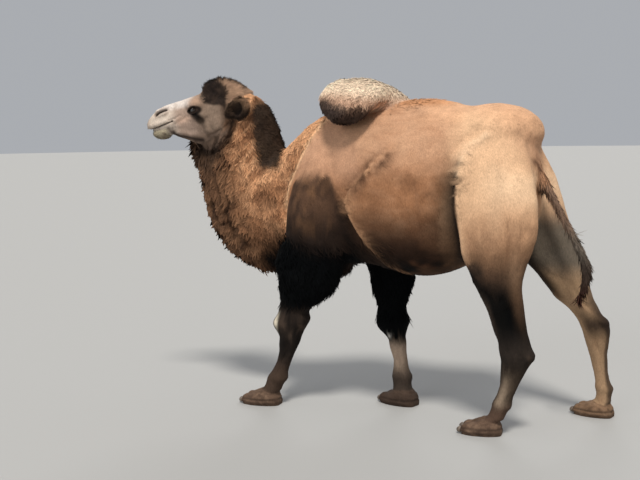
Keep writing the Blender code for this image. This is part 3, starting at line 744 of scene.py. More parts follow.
# the soles lie flat on the floor
for pair, side in FEET:
    own = np.nonzero(owner == FLESH.index("foot_%s_%s" % (pair, side)))[0]
    low = points[own, 2].min()
    height = points[own, 2] - low
    points[own, 2] -= low * fall(height, 0.0, 0.05)
    height = points[own, 2]
    points[own, 2] = np.where(height < 0.010, height * ramp(height, 0.003, 0.010), height)
set_points(skin.data, points)

# ---------------------------------------------------------------- eye sockets
EYE_RADIUS = 0.0205
OPEN_LENGTH = 0.0215
OPEN_HEIGHT = 0.0125
# the lower lid's part of the opening
LOWER_SHARE = 0.80
eyes = []
for node, sign in (("eye_left", 1.0), ("eye_right", -1.0)):
    centre = np.array(middle(node)[:])
    out = unit((head_s * sign + 0.16 * head_f + 0.03 * head_u)[None])[0]
    fore = head_f - out * (head_f @ out)
    fore /= np.linalg.norm(fore)
    top = np.cross(fore, out) * sign
    if top @ head_u < 0.0:
        top = -top
    # the slit of the eye falls a little towards the nose
    slope = math.radians(8.0)
    level, upright = fore, top
    fore = level * math.cos(slope) - upright * math.sin(slope)
    top = upright * math.cos(slope) + level * math.sin(slope)
    eyes.append((node, centre, out, fore, top))

for node, centre, out, fore, top in eyes:
    away = points - centre
    reach = np.linalg.norm(away, axis=1)
    near = reach < 0.060
    local = away[near]
    o = local @ out
    f = local @ fore
    t = local @ top
    half = np.where(t > 0.0, OPEN_HEIGHT, LOWER_SHARE * OPEN_HEIGHT)
    inside = (f / OPEN_LENGTH) ** 2 + (t / half) ** 2
    across = np.hypot(f, t)
    moved = local.copy()
    # outside the slit the skin clears the eyeball
    shell = EYE_RADIUS + 0.0022
    cover = (o > -0.004) & (np.linalg.norm(local, axis=1) < shell)
    size = np.linalg.norm(local, axis=1, keepdims=True)
    moved[cover] = local[cover] / size[cover] * shell
    # rim of the orbit: a soft mound round the ball
    mound = peak(across - 0.027, 0.012) * (o > 0.0)
    moved += out * (0.0030 * mound)[:, None]
    hole = (inside < 1.0) & (o > 0.0)
    moved[hole] = local[hole] / size[hole] * (EYE_RADIUS * 0.86)
    points[near] = centre + moved
set_points(skin.data, points)

# ---------------------------------------------------------------- markings of the coat


def tone(red, green, blue):
    """A colour given as it looks, from 0 to 255, as linear light."""
    c = np.array((red, green, blue), np.float64) / 255.0
    return np.where(c <= 0.04045, c / 12.92, ((c + 0.055) / 1.055) ** 2.4)


TAN = (172, 121, 85)
PALE_TAN = (214, 170, 134)
SAND = (223, 182, 144)
CREAM = (238, 204, 168)
RUST_DARK = (96, 64, 44)
BROWN = (112, 80, 58)
UMBER = (44, 34, 29)
BLACK = (0, 1, 2)
MUZZLE = (206, 190, 174)
BRIDGE = (226, 214, 204)
CHEEK = (168, 144, 128)
JAW_GREY = (134, 114, 98)
LIP = (178, 166, 136)
DUST = (98, 78, 64)
HIND_TAN = (164, 134, 104)

colour = np.tile(tone(*TAN), (count, 1))


def paint(share, look):
    """Lay a colour over the skin, by a share for each point."""
    global colour
    share = np.clip(share, 0.0, 1.0)[:, None]
    colour = colour + (tone(*look) - colour) * share


x = points[:, 0] - AXIS_X
y = points[:, 1]
z = points[:, 2]
left = ramp(x, -0.02, 0.02)
blotch = fractal(points, 6.0, 31)
speck = fractal(points, 16.0, 37)
fine = fractal(points, 40.0, 41)

# barrel: lighter above and darker towards the belly, partly the coat's own tone and partly painted light
# on the back and painted shade on the underside, near black at the belly
paint(ramp(z, 1.26, 1.50), (192, 148, 116))
paint(0.55 * fall(z, 1.04, 1.28), BROWN)
grain = noise(points, 60.0, 103)
paint(0.30 * ramp(grain + 0.6 * fine, 0.10, 0.55), (138, 94, 66))
paint(0.22 * ramp(-grain - 0.6 * fine, 0.10, 0.55), (226, 178, 142))
paint(0.96 * fall(z, 0.95, 1.25), (42, 28, 21))
paint(0.96 * fall(z, 0.83, 0.98), (5, 4, 3))
paint(0.40 * ramp(blotch, 0.0, 0.45) * fall(z, 1.25, 1.5), BROWN)
paint(0.45 * ramp(speck + 0.4 * blotch, 0.20, 0.55) * fall(z, 1.30, 1.5), RUST_DARK)
paint(0.25 * ramp(-blotch, 0.1, 0.5) * ramp(z, 0.98, 1.15), PALE_TAN)
paint(0.22 * ramp(speck, 0.1, 0.5) * ramp(z, 1.25, 1.45), TAN)

# withers, back and rear hump
paint(0.75 * on_rear_hump, (220, 172, 134))
paint(0.8 * ramp(z, 1.695, 1.725) * ramp(y, 0.16, 0.24) * fall(y, 0.46, 0.56), (196, 138, 96))

# rump and thighs
rump_gap, _ = line_distance(
    points, ((0.20, 0.66, 1.46), (0.28, 0.80, 1.32), (0.31, 0.82, 1.12), (0.30, 0.84, 1.02))
)
rump_far, _ = line_distance(
    points, mirrored(((0.20, 0.66, 1.46), (0.26, 0.82, 1.32), (0.29, 0.88, 1.12), (0.28, 0.95, 1.00)))
)
rump = fall(np.minimum(rump_gap, rump_far), 0.13, 0.30)
hind = np.maximum(hind_left, hind_right)
paint(0.90 * rump * ramp(y, 0.52, 0.66), SAND)
paint(0.85 * hind * ramp(z, 0.90, 1.05), SAND)
paint(0.5 * hind * bump_at(z, 1.30, 0.16) * ramp(y, 0.70, 0.86), CREAM)
paint(0.35 * hind * ramp(blotch, 0.0, 0.5) * fall(z, 1.1, 1.3), TAN)
paint(0.55 * hind * fall(z, 1.04, 1.26), (172, 128, 96))
near_hind = hind * left
far_hind = hind * (1.0 - left)
paint(near_hind * fall(z + 0.05 * speck, 0.90, 1.12), (136, 102, 76))
paint(near_hind * fall(z + 0.06 * speck, 0.81, 0.99), (66, 50, 39))
paint(near_hind * fall(z + 0.05 * speck, 0.74, 0.90), (8, 7, 6))
paint(
    0.45 * near_hind * ramp(grain + fine, 0.0, 0.6) * fall(z, 1.02, 1.20) * ramp(z, 0.80, 0.88),
    (86, 62, 46)
)
paint(0.7 * near_hind * bump_at(y, 0.925, 0.030) * bump_at(z, 0.86, 0.10), (150, 118, 92))
paint(0.8 * near_hind * bump_at(y, 0.900, 0.030) * bump_at(z, 0.64, 0.14), BLACK)
paint(0.5 * near_hind * bump_at(z, 0.44, 0.08), (62, 53, 47))
shin_line, _ = line_distance(
    points, ((0.325, 0.905, 0.400), (0.322, 0.875, 0.280), (0.318, 0.845, 0.180))
)
paint(0.5 * near_hind * fall(z, 0.26, 0.42), (84, 70, 58))
paint(0.9 * near_hind * peak(shin_line, 0.030) * fall(z + 0.02 * fine, 0.275, 0.345), (160, 140, 119))
paint(0.55 * near_hind * ramp(normals[:, 1], 0.25, 0.75) * bump_at(z, 0.74, 0.13), (104, 78, 58))
paint(0.45 * near_hind * ramp(-normals[:, 1], 0.25, 0.75) * bump_at(z, 0.66, 0.14), (98, 82, 70))
paint(0.40 * near_hind * bump_at(z, 0.400, 0.045) * ramp(fine, 0.0, 0.5), (76, 60, 48))
paint(0.8 * near_hind * fall(z, 0.12, 0.20), (88, 68, 56))
# painted shade in the hollow in front of the thigh, where the thigh shades the flank, and darker still in
# the crease; a painted highlight along the thigh's raised front edge
for line, hand, strength in ((FLANK, 1.0, 0.90), (FLANK_FAR, -1.0, 0.70)):
    gap, along, side = side_line(points, line)
    own = ramp(hand * x, 0.05, 0.12)
    ahead_of = own * fall(side, -0.004, 0.006)
    low_part = ramp(along, 0.05, 0.22)
    paint(strength * ahead_of * low_part * peak(gap, 0.115), (25, 20, 16))
    paint(strength * ahead_of * ramp(along, 0.03, 0.09) * peak(gap, 0.034), (30, 23, 19))
    paint(0.7 * own * ramp(side, 0.002, 0.010) * peak(gap, 0.035) * ramp(z, 0.86, 0.98), SAND)
# painted highlight along the raised ridge over the hip
hip_gap, _ = line_distance(points, HIP)
paint(0.6 * peak(hip_gap, 0.016), CREAM)
# painted shade in the crease of the thigh
crease_gap, _ = line_distance(points, THIGH_CREASE)
paint(0.7 * peak(crease_gap, 0.010), BROWN)
stifle = np.hypot((y - 0.722) / 0.045, (z - 0.868) / 0.042)
paint(0.85 * near_hind * fall(stifle, 0.6, 1.3), (36, 30, 26))

# the far leg: grey inside the thigh, tan below with a dark stripe behind
inner = far_hind * ramp(normals[:, 0], -0.2, 0.4)
paint(inner * fall(z, 1.05, 1.20), (104, 94, 82))
paint(0.6 * far_hind * (1.0 - inner) * fall(z, 0.74, 0.96), (156, 126, 98))
paint(far_hind * fall(z, 0.76, 0.88), HIND_TAN)
paint(0.85 * far_hind * ramp(normals[:, 1], 0.35, 0.8) * fall(z, 0.60, 0.90), (62, 50, 42))
paint(0.95 * far_hind * bump_at(z, 0.530, 0.072) * ramp(normals[:, 1], -0.55, 0.00), (40, 31, 26))
paint(
    0.9 * far_hind * ramp(-normals[:, 1], -0.05, 0.45) * ramp(z, 0.64, 0.72) * fall(z, 0.94, 1.05),
    (24, 20, 18)
)
paint(0.35 * far_hind * ramp(fine + speck, 0.1, 0.6) * fall(z, 0.70, 0.86), (112, 84, 62))

# shoulder: a painted highlight along the front edge of the blade, a dark patch on the blade that runs
# down to the black of the leg
shoulder = body * fall(np.hypot((y + 0.16) / 0.30, (z - 1.24) / 0.42), 0.75, 1.05)
paint(0.60 * shoulder * ramp(z, 1.22, 1.38), (190, 146, 117))
patch_top = 1.348 + 0.050 * speck + 0.045 * fine
levels = (0.98, 1.03, 1.12, 1.20, 1.28, 1.34, 1.40)
for hand, shift in ((1.0, 0.0), (-1.0, 0.110)):
    patch_front = np.interp(z, levels, (-0.402, -0.400, -0.394, -0.390, -0.368, -0.318, -0.180)) + shift
    patch_rear = np.interp(z, levels, (0.075, 0.060, 0.010, -0.025, -0.075, -0.115, -0.200)) + 0.3 * shift
    blade = ramp(y - patch_front, -0.006, 0.012) * fall(y - patch_rear, -0.030, 0.006)
    blade = blade * fall(z - patch_top, -0.040, 0.030) * ramp(z, 0.88, 0.92) * ramp(hand * x, 0.05, 0.10)
    blade = blade * body
    paint(0.94 * blade, (84, 62, 48))
    paint(
        0.75 * blade * bump_at(y - patch_front, 0.050, 0.050) * ramp(fine + blotch, -0.5, 0.1),
        (54, 40, 32)
    )
    paint(0.70 * blade * bump_at(patch_rear - y, 0.050, 0.045), (54, 40, 32))
    paint(0.90 * blade * fall(z + 0.02 * speck, 1.02, 1.18), (26, 19, 16))
    paint(0.75 * blade * ramp(fine + 0.6 * speck, 0.05, 0.45), UMBER)
    paint(
        0.55 * blade * ramp(0.7 * speck - fine, 0.10, 0.5) * ramp(z, 1.00, 1.10)
        * bump_at(y, -0.22, 0.10), (138, 100, 70)
    )
# painted highlight along the raised front edge of each shoulder blade
ridge_highlights = np.zeros(count)
for line, hand in ((SHOULDER_FRONT, 1.0), (FAR_SHOULDER_FRONT, -1.0)):
    gap, along, side = side_line(points, line)
    edge = peak(side + 0.004, 0.011) * (gap < 0.03) * ramp(hand * x, 0.02, 0.06)
    ridge_highlights = np.maximum(ridge_highlights, 0.85 * edge * fall(along, 0.72, 0.92) * (0.75 + 0.25 * fine))
    shade_before = peak(gap, 0.045) * (side < -0.012) * ramp(hand * x, 0.03, 0.08)
    paint(0.25 * shade_before, RUST_DARK)
# at the barrel's front fold: painted shade in the hollow in front of it and in the crease, and a painted
# highlight along its raised rim behind
for hand in (1.0, -1.0):
    gap, along, side = side_line(points, BARREL_FRONT)
    own = ramp(hand * x, 0.05, 0.12)
    low_part = ramp(along, 0.28, 0.50)
    paint(0.85 * own * low_part * fall(side, -0.004, 0.006) * peak(gap, 0.075), (62, 43, 32))
    paint(0.85 * own * low_part * peak(side + 0.008, 0.007) * (gap < 0.03), (28, 20, 16))
    rim_fade = ramp(along, 0.05, 0.2) * fall(along, 0.90, 0.99)
    paint(0.85 * own * peak(side - 0.010, 0.012) * (gap < 0.04) * rim_fade, (200, 152, 114))
    paint(0.35 * own * (1.0 - low_part) * peak(side + 0.020, 0.016) * (gap < 0.05), RUST_DARK)
# painted shade in the hollow behind the elbow
hollow = side_line(points, ((-0.050, 1.180), (-0.030, 1.080), (0.000, 0.960), (0.040, 0.860)))[0]
paint(0.92 * peak(hollow, 0.026) * ramp(np.abs(x), 0.10, 0.16) * body, (16, 12, 10))
for line, wide in ((((0.150, 1.395), (0.062, 1.250)), 0.030), (((0.250, 1.448), (0.200, 1.370)), 0.020)):
    mottle = side_line(points, line)[0]
    paint(0.90 * peak(mottle, wide) * ramp(fine + 0.5 * speck, -0.45, 0.10) * left, (70, 46, 34))
rib_shade = np.hypot((y - 0.048) / 0.040, (z - 1.262) / 0.060)
paint(0.60 * peak(rib_shade, 1.0) * left * body, (84, 56, 41))
paint(0.85 * brisket, (40, 30, 24))
# painted shade low on the underside of the chest and belly
under = body * fall(z, 0.84, 0.95) * fall(y, 0.05, 0.30) * ramp(y, -0.52, -0.46)
paint(0.8 * under, UMBER)

# neck: rust with lighter curls, darker wool in front with painted shade in the gaps between its locks and
# painted highlights on their crests, dark mane behind
chest = body * fall(y, -0.53, -0.47) * ramp(z, 0.74, 0.80) * fall(z, 1.02, 1.10)
paint((1.0 - on_neck) * chest, (110, 78, 56))
paint(neck_wool, (184, 131, 93))
paint(0.60 * neck_wool * ramp(speck + 0.7 * fine, 0.0, 0.55), (222, 170, 128))
paint(0.65 * neck_wool * ramp(-speck + 0.6 * fine, 0.05, 0.50), (112, 76, 54))
across_locks = np.column_stack((18.0 * x, 62.0 * (0.81 * y - 0.58 * z), 19.0 * (0.58 * y + 0.81 * z)))
streaks = fractal(across_locks, 1.0, 101)
paint(0.65 * neck_wool * ramp(streaks, 0.08, 0.36), (232, 178, 134))
paint(0.80 * neck_wool * ramp(-streaks, 0.10, 0.38), (92, 60, 42))
paint(0.70 * front_wool, (108, 76, 55))
paint(0.85 * front_wool * ramp(-streaks, 0.02, 0.26), (36, 25, 20))
paint(0.50 * front_wool * ramp(streaks, 0.10, 0.38), (172, 126, 92))
paint(0.45 * neck_front, (92, 68, 52))
# painted shade in the gaps between the locks
paint(0.90 * front_wool * lock_gap, (34, 24, 19))
# painted highlight on the crests of the locks
paint(0.45 * front_wool * ramp(locks, 0.25, 0.50), (186, 140, 104))
paint(0.35 * on_neck * fall(z, 0.84, 1.00), (92, 66, 50))
paint(0.96 * nape, (44, 36, 30))
paint(0.35 * nape * ramp(fine, 0.1, 0.5), (78, 64, 54))
withers = (
    body * (1.0 - nape) * ramp(y, -0.50, -0.45) * fall(y, -0.32, -0.18) * fall(np.abs(x), 0.09, 0.16)
    * ramp(z, 1.40, 1.50)
)
paint(0.9 * withers, (236, 178, 132))
paint(0.35 * withers * ramp(fine + speck, 0.0, 0.5), (112, 74, 52))
# the painted highlight along the front edge of the shoulder blades
paint(ridge_highlights, (246, 202, 158))
# darker under the jaw, partly dark hair and partly painted shade
throat_gap, _ = line_distance(
    in_head(points), ((0.31, -0.150, 0.0), (0.30, -0.200, 0.0), (0.24, -0.230, 0.0), (0.16, -0.220, 0.0))
)
paint(0.8 * fall(throat_gap, 0.05, 0.11) * on_neck, (84, 64, 50))

# forelegs
near_fore = fore_left
far_fore = fore_right
paint(near_fore * fall(z, 0.90, 0.96) * np.maximum(ramp(y, -0.53, -0.47), fall(z, 0.76, 0.82)), BLACK)
paint(shag, BLACK)
paint(0.25 * shag * ramp(fine, 0.2, 0.6), (26, 28, 30))
paint(near_fore * fall(z + 0.03 * speck, 0.575, 0.635), (42, 34, 29))
paint(0.8 * near_fore * bump_at(z, 0.375, 0.055), (24, 19, 17))
paint(0.7 * near_fore * fall(z, 0.56, 0.62) * ramp(fine + speck, 0.0, 0.6), (24, 20, 18))
sinew = fractal(points * np.array((1.0, 1.0, 0.25)), 34.0, 99)
paint(
    0.75 * near_fore * fall(z, 0.56, 0.62) * ramp(z, 0.34, 0.44) * ramp(sinew, 0.10, 0.45), (78, 64, 54)
)
paint(0.60 * near_fore * fall(z, 0.56, 0.62) * ramp(-sinew, 0.10, 0.40), (16, 13, 12))
paint(0.5 * near_fore * fall(z, 0.16, 0.30), (88, 70, 58))
far_paint = far_fore * fall(z, 0.90, 0.97)
paint(far_paint, BLACK)
paint(far_fore * fall(z, 0.33, 0.39), (152, 132, 114))
paint(0.9 * far_fore * fall(z, 0.17, 0.25), (34, 28, 25))
paint(0.4 * far_fore * fall(z, 0.33, 0.39) * ramp(fine + speck, 0.1, 0.6), (76, 63, 54))
KNEE_NEAR = (0.271, -0.472, 0.500)
KNEE_FAR = (-0.050, 0.097, 0.404)
spot = np.linalg.norm((points - np.array(KNEE_NEAR)) / np.array((0.034, 0.017, 0.046)), axis=1)
paint(fall(spot, 0.7, 1.1), (216, 204, 182))
spot = np.linalg.norm(points - np.array(KNEE_FAR), axis=1)
paint(fall(spot, 0.008, 0.016), (214, 208, 198))

# painted shadow that the front hump casts on the body below it
hump_shadow = (
    peak(side_line(points, ((-0.05, 1.620), (0.010, 1.652), (0.080, 1.690)))[0], 0.024) * (body + on_hump)
    * ramp(x, 0.10, 0.16)
)
hump_shadow = np.clip(hump_shadow, 0.0, 1.0)
# front hump: pale top, partly pale hair and partly painted highlight; brown curls; dark hanging tip,
# partly dark hair and partly painted shade
hump_rise = z + 0.10 * (y + 0.02)
paint(on_hump, (222, 180, 150))
paint(0.95 * on_hump * ramp(hump_rise, 1.735, 1.800), (254, 226, 196))
paint(0.60 * on_hump * ramp(speck + fine, 0.15, 0.55) * fall(hump_rise, 1.75, 1.81), (120, 86, 66))
tip = (
    on_hump * fall(z + 0.35 * (y - 0.05) * (y < 0.05) + 0.02 * speck, 1.665, 1.725)
    * ramp(points[:, 0], 0.16, 0.26)
)
paint(0.20 * on_hump * fall(hump_rise, 1.735, 1.800), (170, 132, 108))
paint(0.90 * tip, (38, 35, 37))
# painted shade in the crease where the hump lies on the back
paint(0.6 * hump_edge * ramp(points[:, 0], 0.10, 0.22), UMBER)
# the painted shadow below the front hump
paint(0.85 * hump_shadow, (54, 38, 30))

# tail
paint(on_tail, (134, 108, 90))
paint(0.9 * on_tail * ramp(z, 1.300, 1.345), (178, 132, 100))
paint(0.85 * on_tail * ramp(np.abs(x), 0.010, 0.026) * fall(z, 1.30, 1.36), (44, 36, 32))
paint(0.80 * on_tail * fall(z, 1.02, 1.16), (104, 96, 86))
paint(0.85 * on_tail * fall(z, 0.88, 1.00), (50, 37, 31))
paint(0.5 * on_tail * fall(z, 0.74, 0.86), (84, 44, 34))
root = np.linalg.norm((points - np.array((0.095, 0.975, 1.41))) / np.array((0.05, 0.03, 0.022)), axis=1)
paint(0.75 * fall(root, 0.5, 1.1), (78, 50, 36))

# feet
paint(on_foot * fall(z, 0.06, 0.13), DUST)
paint(0.8 * on_foot * far_hind * fall(z, 0.06, 0.13), (130, 102, 78))
paint(0.8 * on_foot * far_fore * fall(z, 0.06, 0.13), (54, 44, 38))
paint(0.6 * on_foot * fall(z, 0.015, 0.03), (66, 52, 43))
paint(
    0.40 * on_foot * (1.0 - far_fore) * ramp(fine + 0.6 * noise(points, 90.0, 85), 0.0, 0.6),
    (134, 110, 90)
)
paint(0.50 * on_foot * ramp(-fine + 0.4 * noise(points, 60.0, 87), 0.0, 0.6), (62, 48, 40))
paint(0.60 * on_foot * bump_at(z, 0.036, 0.007), (44, 34, 29))

# head
face_side = on_head * (1.0 - on_ear)
paint(on_head, JAW_GREY)
paint(face_side * ramp(ahead, 0.16, 0.26), CHEEK)
paint(face_side * ramp(ahead, 0.31, 0.41), MUZZLE)
paint(
    0.9 * face_side * ramp(up - 0.25 * np.clip(0.25 - ahead, 0.0, 1.0), 0.062, 0.098)
    * ramp(ahead, 0.20, 0.27), BRIDGE
)
paint(0.75 * face_side * bump_at(up, 0.100, 0.030) * bump_at(ahead, 0.200, 0.045), (186, 152, 128))
chin = face_side * fall(up, -0.034, -0.022) * ramp(ahead, 0.40, 0.43)
paint(0.8 * chin, LIP)
paint(0.6 * chin * ramp(fine + 0.5 * noise(points, 110.0, 83), 0.0, 0.5), (96, 82, 66))
paint(0.5 * chin * fall(up, -0.085, -0.050), (92, 78, 62))
paint(0.5 * face_side * ramp(ahead, 0.50, 0.53) * ramp(up, -0.02, 0.0), (176, 156, 138))
paint(0.4 * face_side * ramp(fine, 0.0, 0.5) * ramp(ahead, 0.20, 0.30), (150, 128, 112))
paint(0.4 * face_side * ramp(speck, 0.0, 0.5) * fall(ahead, 0.30, 0.36), (112, 92, 78))
jaw_low = (
    face_side * fall(up + 0.10 * np.clip(ahead - 0.10, 0.0, 0.3), -0.125, -0.060)
    * fall(ahead, 0.20, 0.28)
)
paint(0.9 * jaw_low, (56, 42, 34))
# painted shade under the jaw, below the cheek
underjaw_shade = (
    face_side * fall(up + 0.45 * np.clip(ahead - 0.20, 0.0, 0.2), -0.110, -0.085)
    * ramp(ahead, 0.22, 0.26)
)
underjaw_shade = underjaw_shade * fall(ahead, 0.37, 0.42)
paint(0.85 * underjaw_shade, (78, 60, 48))
paint(
    0.6 * face_side * bump_at(up + 0.30 * (ahead - 0.27), -0.118, 0.010) * bump_at(ahead, 0.270, 0.045),
    (150, 128, 110)
)


def head_line(line):
    flat = np.column_stack((ahead, up, np.zeros(count)))
    return line_distance(flat, [(a, b, 0.0) for a, b in line])[0]


beside = face_side * (aside > 0.012)
jaw_back = head_line(
    ((0.004, -0.034), (0.020, -0.077), (0.050, -0.128), (0.096, -0.156), (0.137, -0.178), (0.190, -0.195),
    (0.260, -0.170))
)
border = np.interp(
    ahead, (0.004, 0.020, 0.050, 0.096, 0.137, 0.190, 0.225, 0.250, 0.274),
    (-0.030, -0.077, -0.128, -0.156, -0.178, -0.193, -0.186, -0.160, -0.115)
)
head_and_neck = np.clip(1.3 * (on_head + on_neck), 0.0, 1.0) * (1.0 - on_ear)
on_cheek = (
    head_and_neck * ramp(up - border, -0.004, 0.010) * ramp(ahead, 0.004, 0.020)
    * fall(ahead, 0.262, 0.276) * (aside > 0.02)
)
low_cheek = on_cheek * fall(up, -0.110, -0.070)
paint(0.80 * on_cheek * fall(ahead, 0.040, 0.075), (92, 72, 59))
paint(0.85 * low_cheek, (122, 102, 88))
paint(0.40 * low_cheek * ramp(fine + speck, 0.0, 0.5), (104, 84, 70))
paint(0.40 * on_cheek * bump_at(up - border, 0.012, 0.014), (84, 66, 55))
# painted shade in the hollow behind the jaw
jaw_band = np.exp(-((jaw_back / 0.040) ** 4)) * head_and_neck * (1.0 - on_cheek)
paint(0.95 * jaw_band, (42, 31, 24))
# painted shade in the crease of the mouth
paint(0.90 * peak(head_line(MOUTH), 0.0050) * face_side, (44, 34, 32))
paint(0.45 * peak(head_line(NOSTRIL), 0.0150) * face_side * (aside > 0.014), (128, 100, 88))
# painted shade inside the nostril
paint(0.97 * peak(head_line(NOSTRIL), 0.0078) * face_side * (aside > 0.014), (30, 22, 20))
# painted shade in the notch between the lower lip and the jaw
chin_notch = head_line(((0.404, -0.030), (0.394, -0.055), (0.372, -0.050)))
paint(0.7 * peak(chin_notch, 0.012) * face_side, (84, 66, 54))
# painted shade along the lower edge of the cheek
paint(0.90 * peak(head_line(CHEEK_EDGE), 0.015) * face_side, (40, 30, 25))
socket = np.hypot((ahead - 0.214) / 0.050, (up - 0.049) / 0.029)
paint(0.95 * fall(socket, 0.72, 1.10) * beside, (26, 20, 18))
tear = head_line(((0.219, 0.024), (0.202, 0.006), (0.186, -0.016)))
paint(0.98 * np.exp(-((tear / 0.027) ** 4)) * beside, (15, 12, 11))
paint(0.5 * peak(head_line(((0.186, -0.020), (0.176, -0.050))), 0.016) * beside, (92, 76, 64))
paint(0.5 * peak(head_line(((0.265, 0.010), (0.330, 0.000))), 0.02) * beside, (196, 162, 140))
# crown: near black in front, tan behind
paint(0.96 * crown * ramp(ahead + 0.3 * (up - 0.1), 0.000, 0.040), (14, 12, 11))
temple_low = np.interp(ahead, (-0.02, 0.02, 0.06, 0.10, 0.14), (0.020, 0.036, 0.054, 0.060, 0.078))
temple = (
    face_side * ramp(up - temple_low, -0.008, 0.010) * ramp(ahead, -0.02, 0.01)
    * fall(ahead, 0.146, 0.160)
)
paint(0.95 * temple, (34, 27, 24))
paint(0.30 * temple * ramp(fine, 0.0, 0.5), (84, 66, 54))
before_ear = head_line(((0.030, 0.040), (0.022, 0.000), (0.014, -0.030)))
paint(0.80 * peak(before_ear, 0.016) * face_side, (44, 34, 29))
poll = (
    on_head * (1.0 - on_ear) * ramp(up, 0.015, 0.07)
    * fall(ahead - 0.5 * np.clip(up - 0.12, 0.0, 0.1), 0.000, 0.030)
)
paint(0.9 * poll, (170, 137, 112))
paint(0.35 * poll * ramp(fine, 0.0, 0.5), (206, 168, 136))
paint(0.35 * poll * ramp(-fine, 0.0, 0.5), (120, 94, 76))
crest = (
    on_head * (1.0 - on_ear) * ramp(up, 0.105, 0.130) * fall(aside, 0.030, 0.060)
    * ramp(ahead, -0.085, -0.055) * fall(ahead, 0.10, 0.13)
)
paint(0.92 * crest, (36, 30, 27))
# ears: brown outside, a painted highlight on the upper rim, painted shade on the lower part and in the
# hollow within
paint(on_ear, (98, 78, 63))
ear_inside = np.zeros(count)
ear_rim = np.zeros(count)
for tag, sign in (("ear_left", 1.0), ("ear_right", -1.0)):
    own = spread((owner == FLESH.index(tag)).astype(float), 1)
    facing = normals @ unit((head_f * 0.40 + head_s * 0.90 * sign)[None])[0]
    ear_mid = in_head(np.array([middle(tag)[:]]))[0]
    apart = np.hypot(ahead - ear_mid[0], up - ear_mid[1])
    ear_inside = np.maximum(ear_inside, own * ramp(facing, -0.15, 0.25) * fall(apart, 0.036, 0.050))
    ear_rim = np.maximum(ear_rim, own * ramp(apart, 0.040, 0.052))
# painted shade in the hollow of the ear, darkest low down and lighter high up
paint(0.95 * ear_inside, (52, 41, 34))
paint(0.90 * ear_inside * fall(up + 0.3 * ahead, -0.030, 0.010), (26, 20, 18))
paint(0.75 * ear_inside * ramp(up + 0.5 * ahead, 0.000, 0.035), (88, 70, 56))
# painted highlight on the upper rim, painted shade on the lower rim and the lower part of the ear
paint(0.7 * ear_rim * ramp(up - 0.8 * ahead, 0.060, 0.110), (164, 130, 102))
paint(0.6 * ear_rim * fall(up - 0.8 * ahead, 0.050, 0.090), (62, 48, 39))
paint(0.7 * on_ear * fall(up, -0.030, 0.005), (40, 31, 27))

colour = np.column_stack([spread(colour[:, k], 1) for k in range(3)])
colour = np.clip(colour * (1.0 + 0.10 * fine[:, None] + 0.06 * speck[:, None]), 0.0, 1.0)

# ---------------------------------------------------------------- unwrap of the skin's own shape
AXES = ((0, 1, 2), (1, 0, 2), (2, 0, 1))


def face_corners(mesh):
    found = np.empty(len(mesh.polygons) * 3, np.int32)
    mesh.loops.foreach_get("vertex_index", found)
    return found.reshape(-1, 3)


def unwrap(points, normals, faces, owner):
    """Flat charts, one for each part and main direction, laid side by side in the unit square."""
    facing = np.column_stack([spread(normals[:, k], 10) for k in range(3)])[faces].mean(1)
    main = np.argmax(np.abs(facing), axis=1)
    sense = (facing[np.arange(len(faces)), main] > 0.0).astype(int)
    chart = owner[faces[:, 0]] * 6 + main * 2 + sense
    flat = np.zeros((len(faces), 3, 2))
    for k, (_, first, second) in enumerate(AXES):
        chosen = main == k
        flat[chosen] = points[faces[chosen]][:, :, (first, second)]
    boxes = []
    for name in np.unique(chart):
        part = flat[chart == name].reshape(-1, 2)
        low = part.min(0)
        boxes.append((name, low, part.max(0) - low))
    boxes.sort(key=lambda b: -b[2][1])
    margin = 0.01
    for wide in np.arange(2.0, 8.0, 0.05):
        placed = {}
        cursor = shelf = height = 0.0
        for name, low, size in boxes:
            if cursor + size[0] + margin > wide:
                shelf += height
                cursor = height = 0.0
            placed[name] = np.array((cursor, shelf)) - low
            cursor += size[0] + margin
            height = max(height, size[1] + margin)
        if shelf + height <= wide:
            break
    for name, shift in placed.items():
        flat[chart == name] += shift
    return (flat + 0.5 * margin) / wide


faces = face_corners(skin.data)
set_points(skin.data, points)
normals = mesh_normals(skin.data)
charts = unwrap(points, normals, faces, owner)
layer = skin.data.uv_layers.new(name="OFBake")
layer.data.foreach_set("uv", charts.astype(np.float32).ravel())


def set_colours(mesh, values):
    mark = mesh.color_attributes.new("marking", "FLOAT_COLOR", "POINT")
    filled = np.ones((len(values), 4), np.float32)
    filled[:, :3] = values
    mark.data.foreach_set("color", filled.ravel())


# hair shades the hide where it is dense
shade = 1.0 - 0.30 * np.clip(on_neck + on_hump + shag + crown + on_tail, 0.0, 1.0)
set_colours(skin.data, colour * shade[:, None])
skin.data.shade_smooth()

# ---------------------------------------------------------------- lie of the coat
flow = np.tile((0.0, 0.72, -0.60), (count, 1))


def lay(share, way):
    global flow
    way = np.asarray(way, np.float64)
    flow = flow + (way - flow) * np.clip(share, 0.0, 1.0)[:, None]


lay(fall(z, 0.95, 1.20), (0.0, 0.45, -0.85))
lay(hind * fall(z, 1.15, 1.40), (0.0, 0.20, -1.0))
lay(fall(z, 0.62, 0.80), (0.0, 0.0, -1.0))
lay(neck_wool, (0.0, -0.25, -0.95))
lay(on_neck * fall(z, 0.95, 1.25), (0.0, -0.10, -1.0))
sideways = ramp(np.abs(normals[:, 0]), 0.45, 0.80)
lay(0.9 * front_wool * sideways, -LOCK_WAY)
lay(front_wool * (1.0 - sideways), (0.0, 0.30, -0.95))
lay(nape, (0.0, 0.75, -0.55))
lay(on_neck * ramp(y, -0.60, -0.50) * fall(z, 1.34, 1.42), (0.0, 0.5, -0.8))
lay(shag, (0.0, 0.15, -1.0))
lay(on_hump, (0.55, 0.10, -0.80))
lay(on_hump * ramp(z, 1.78, 1.84), (0.8, 0.25, -0.3))
lay(on_tail, (0.0, 0.42, -0.90))
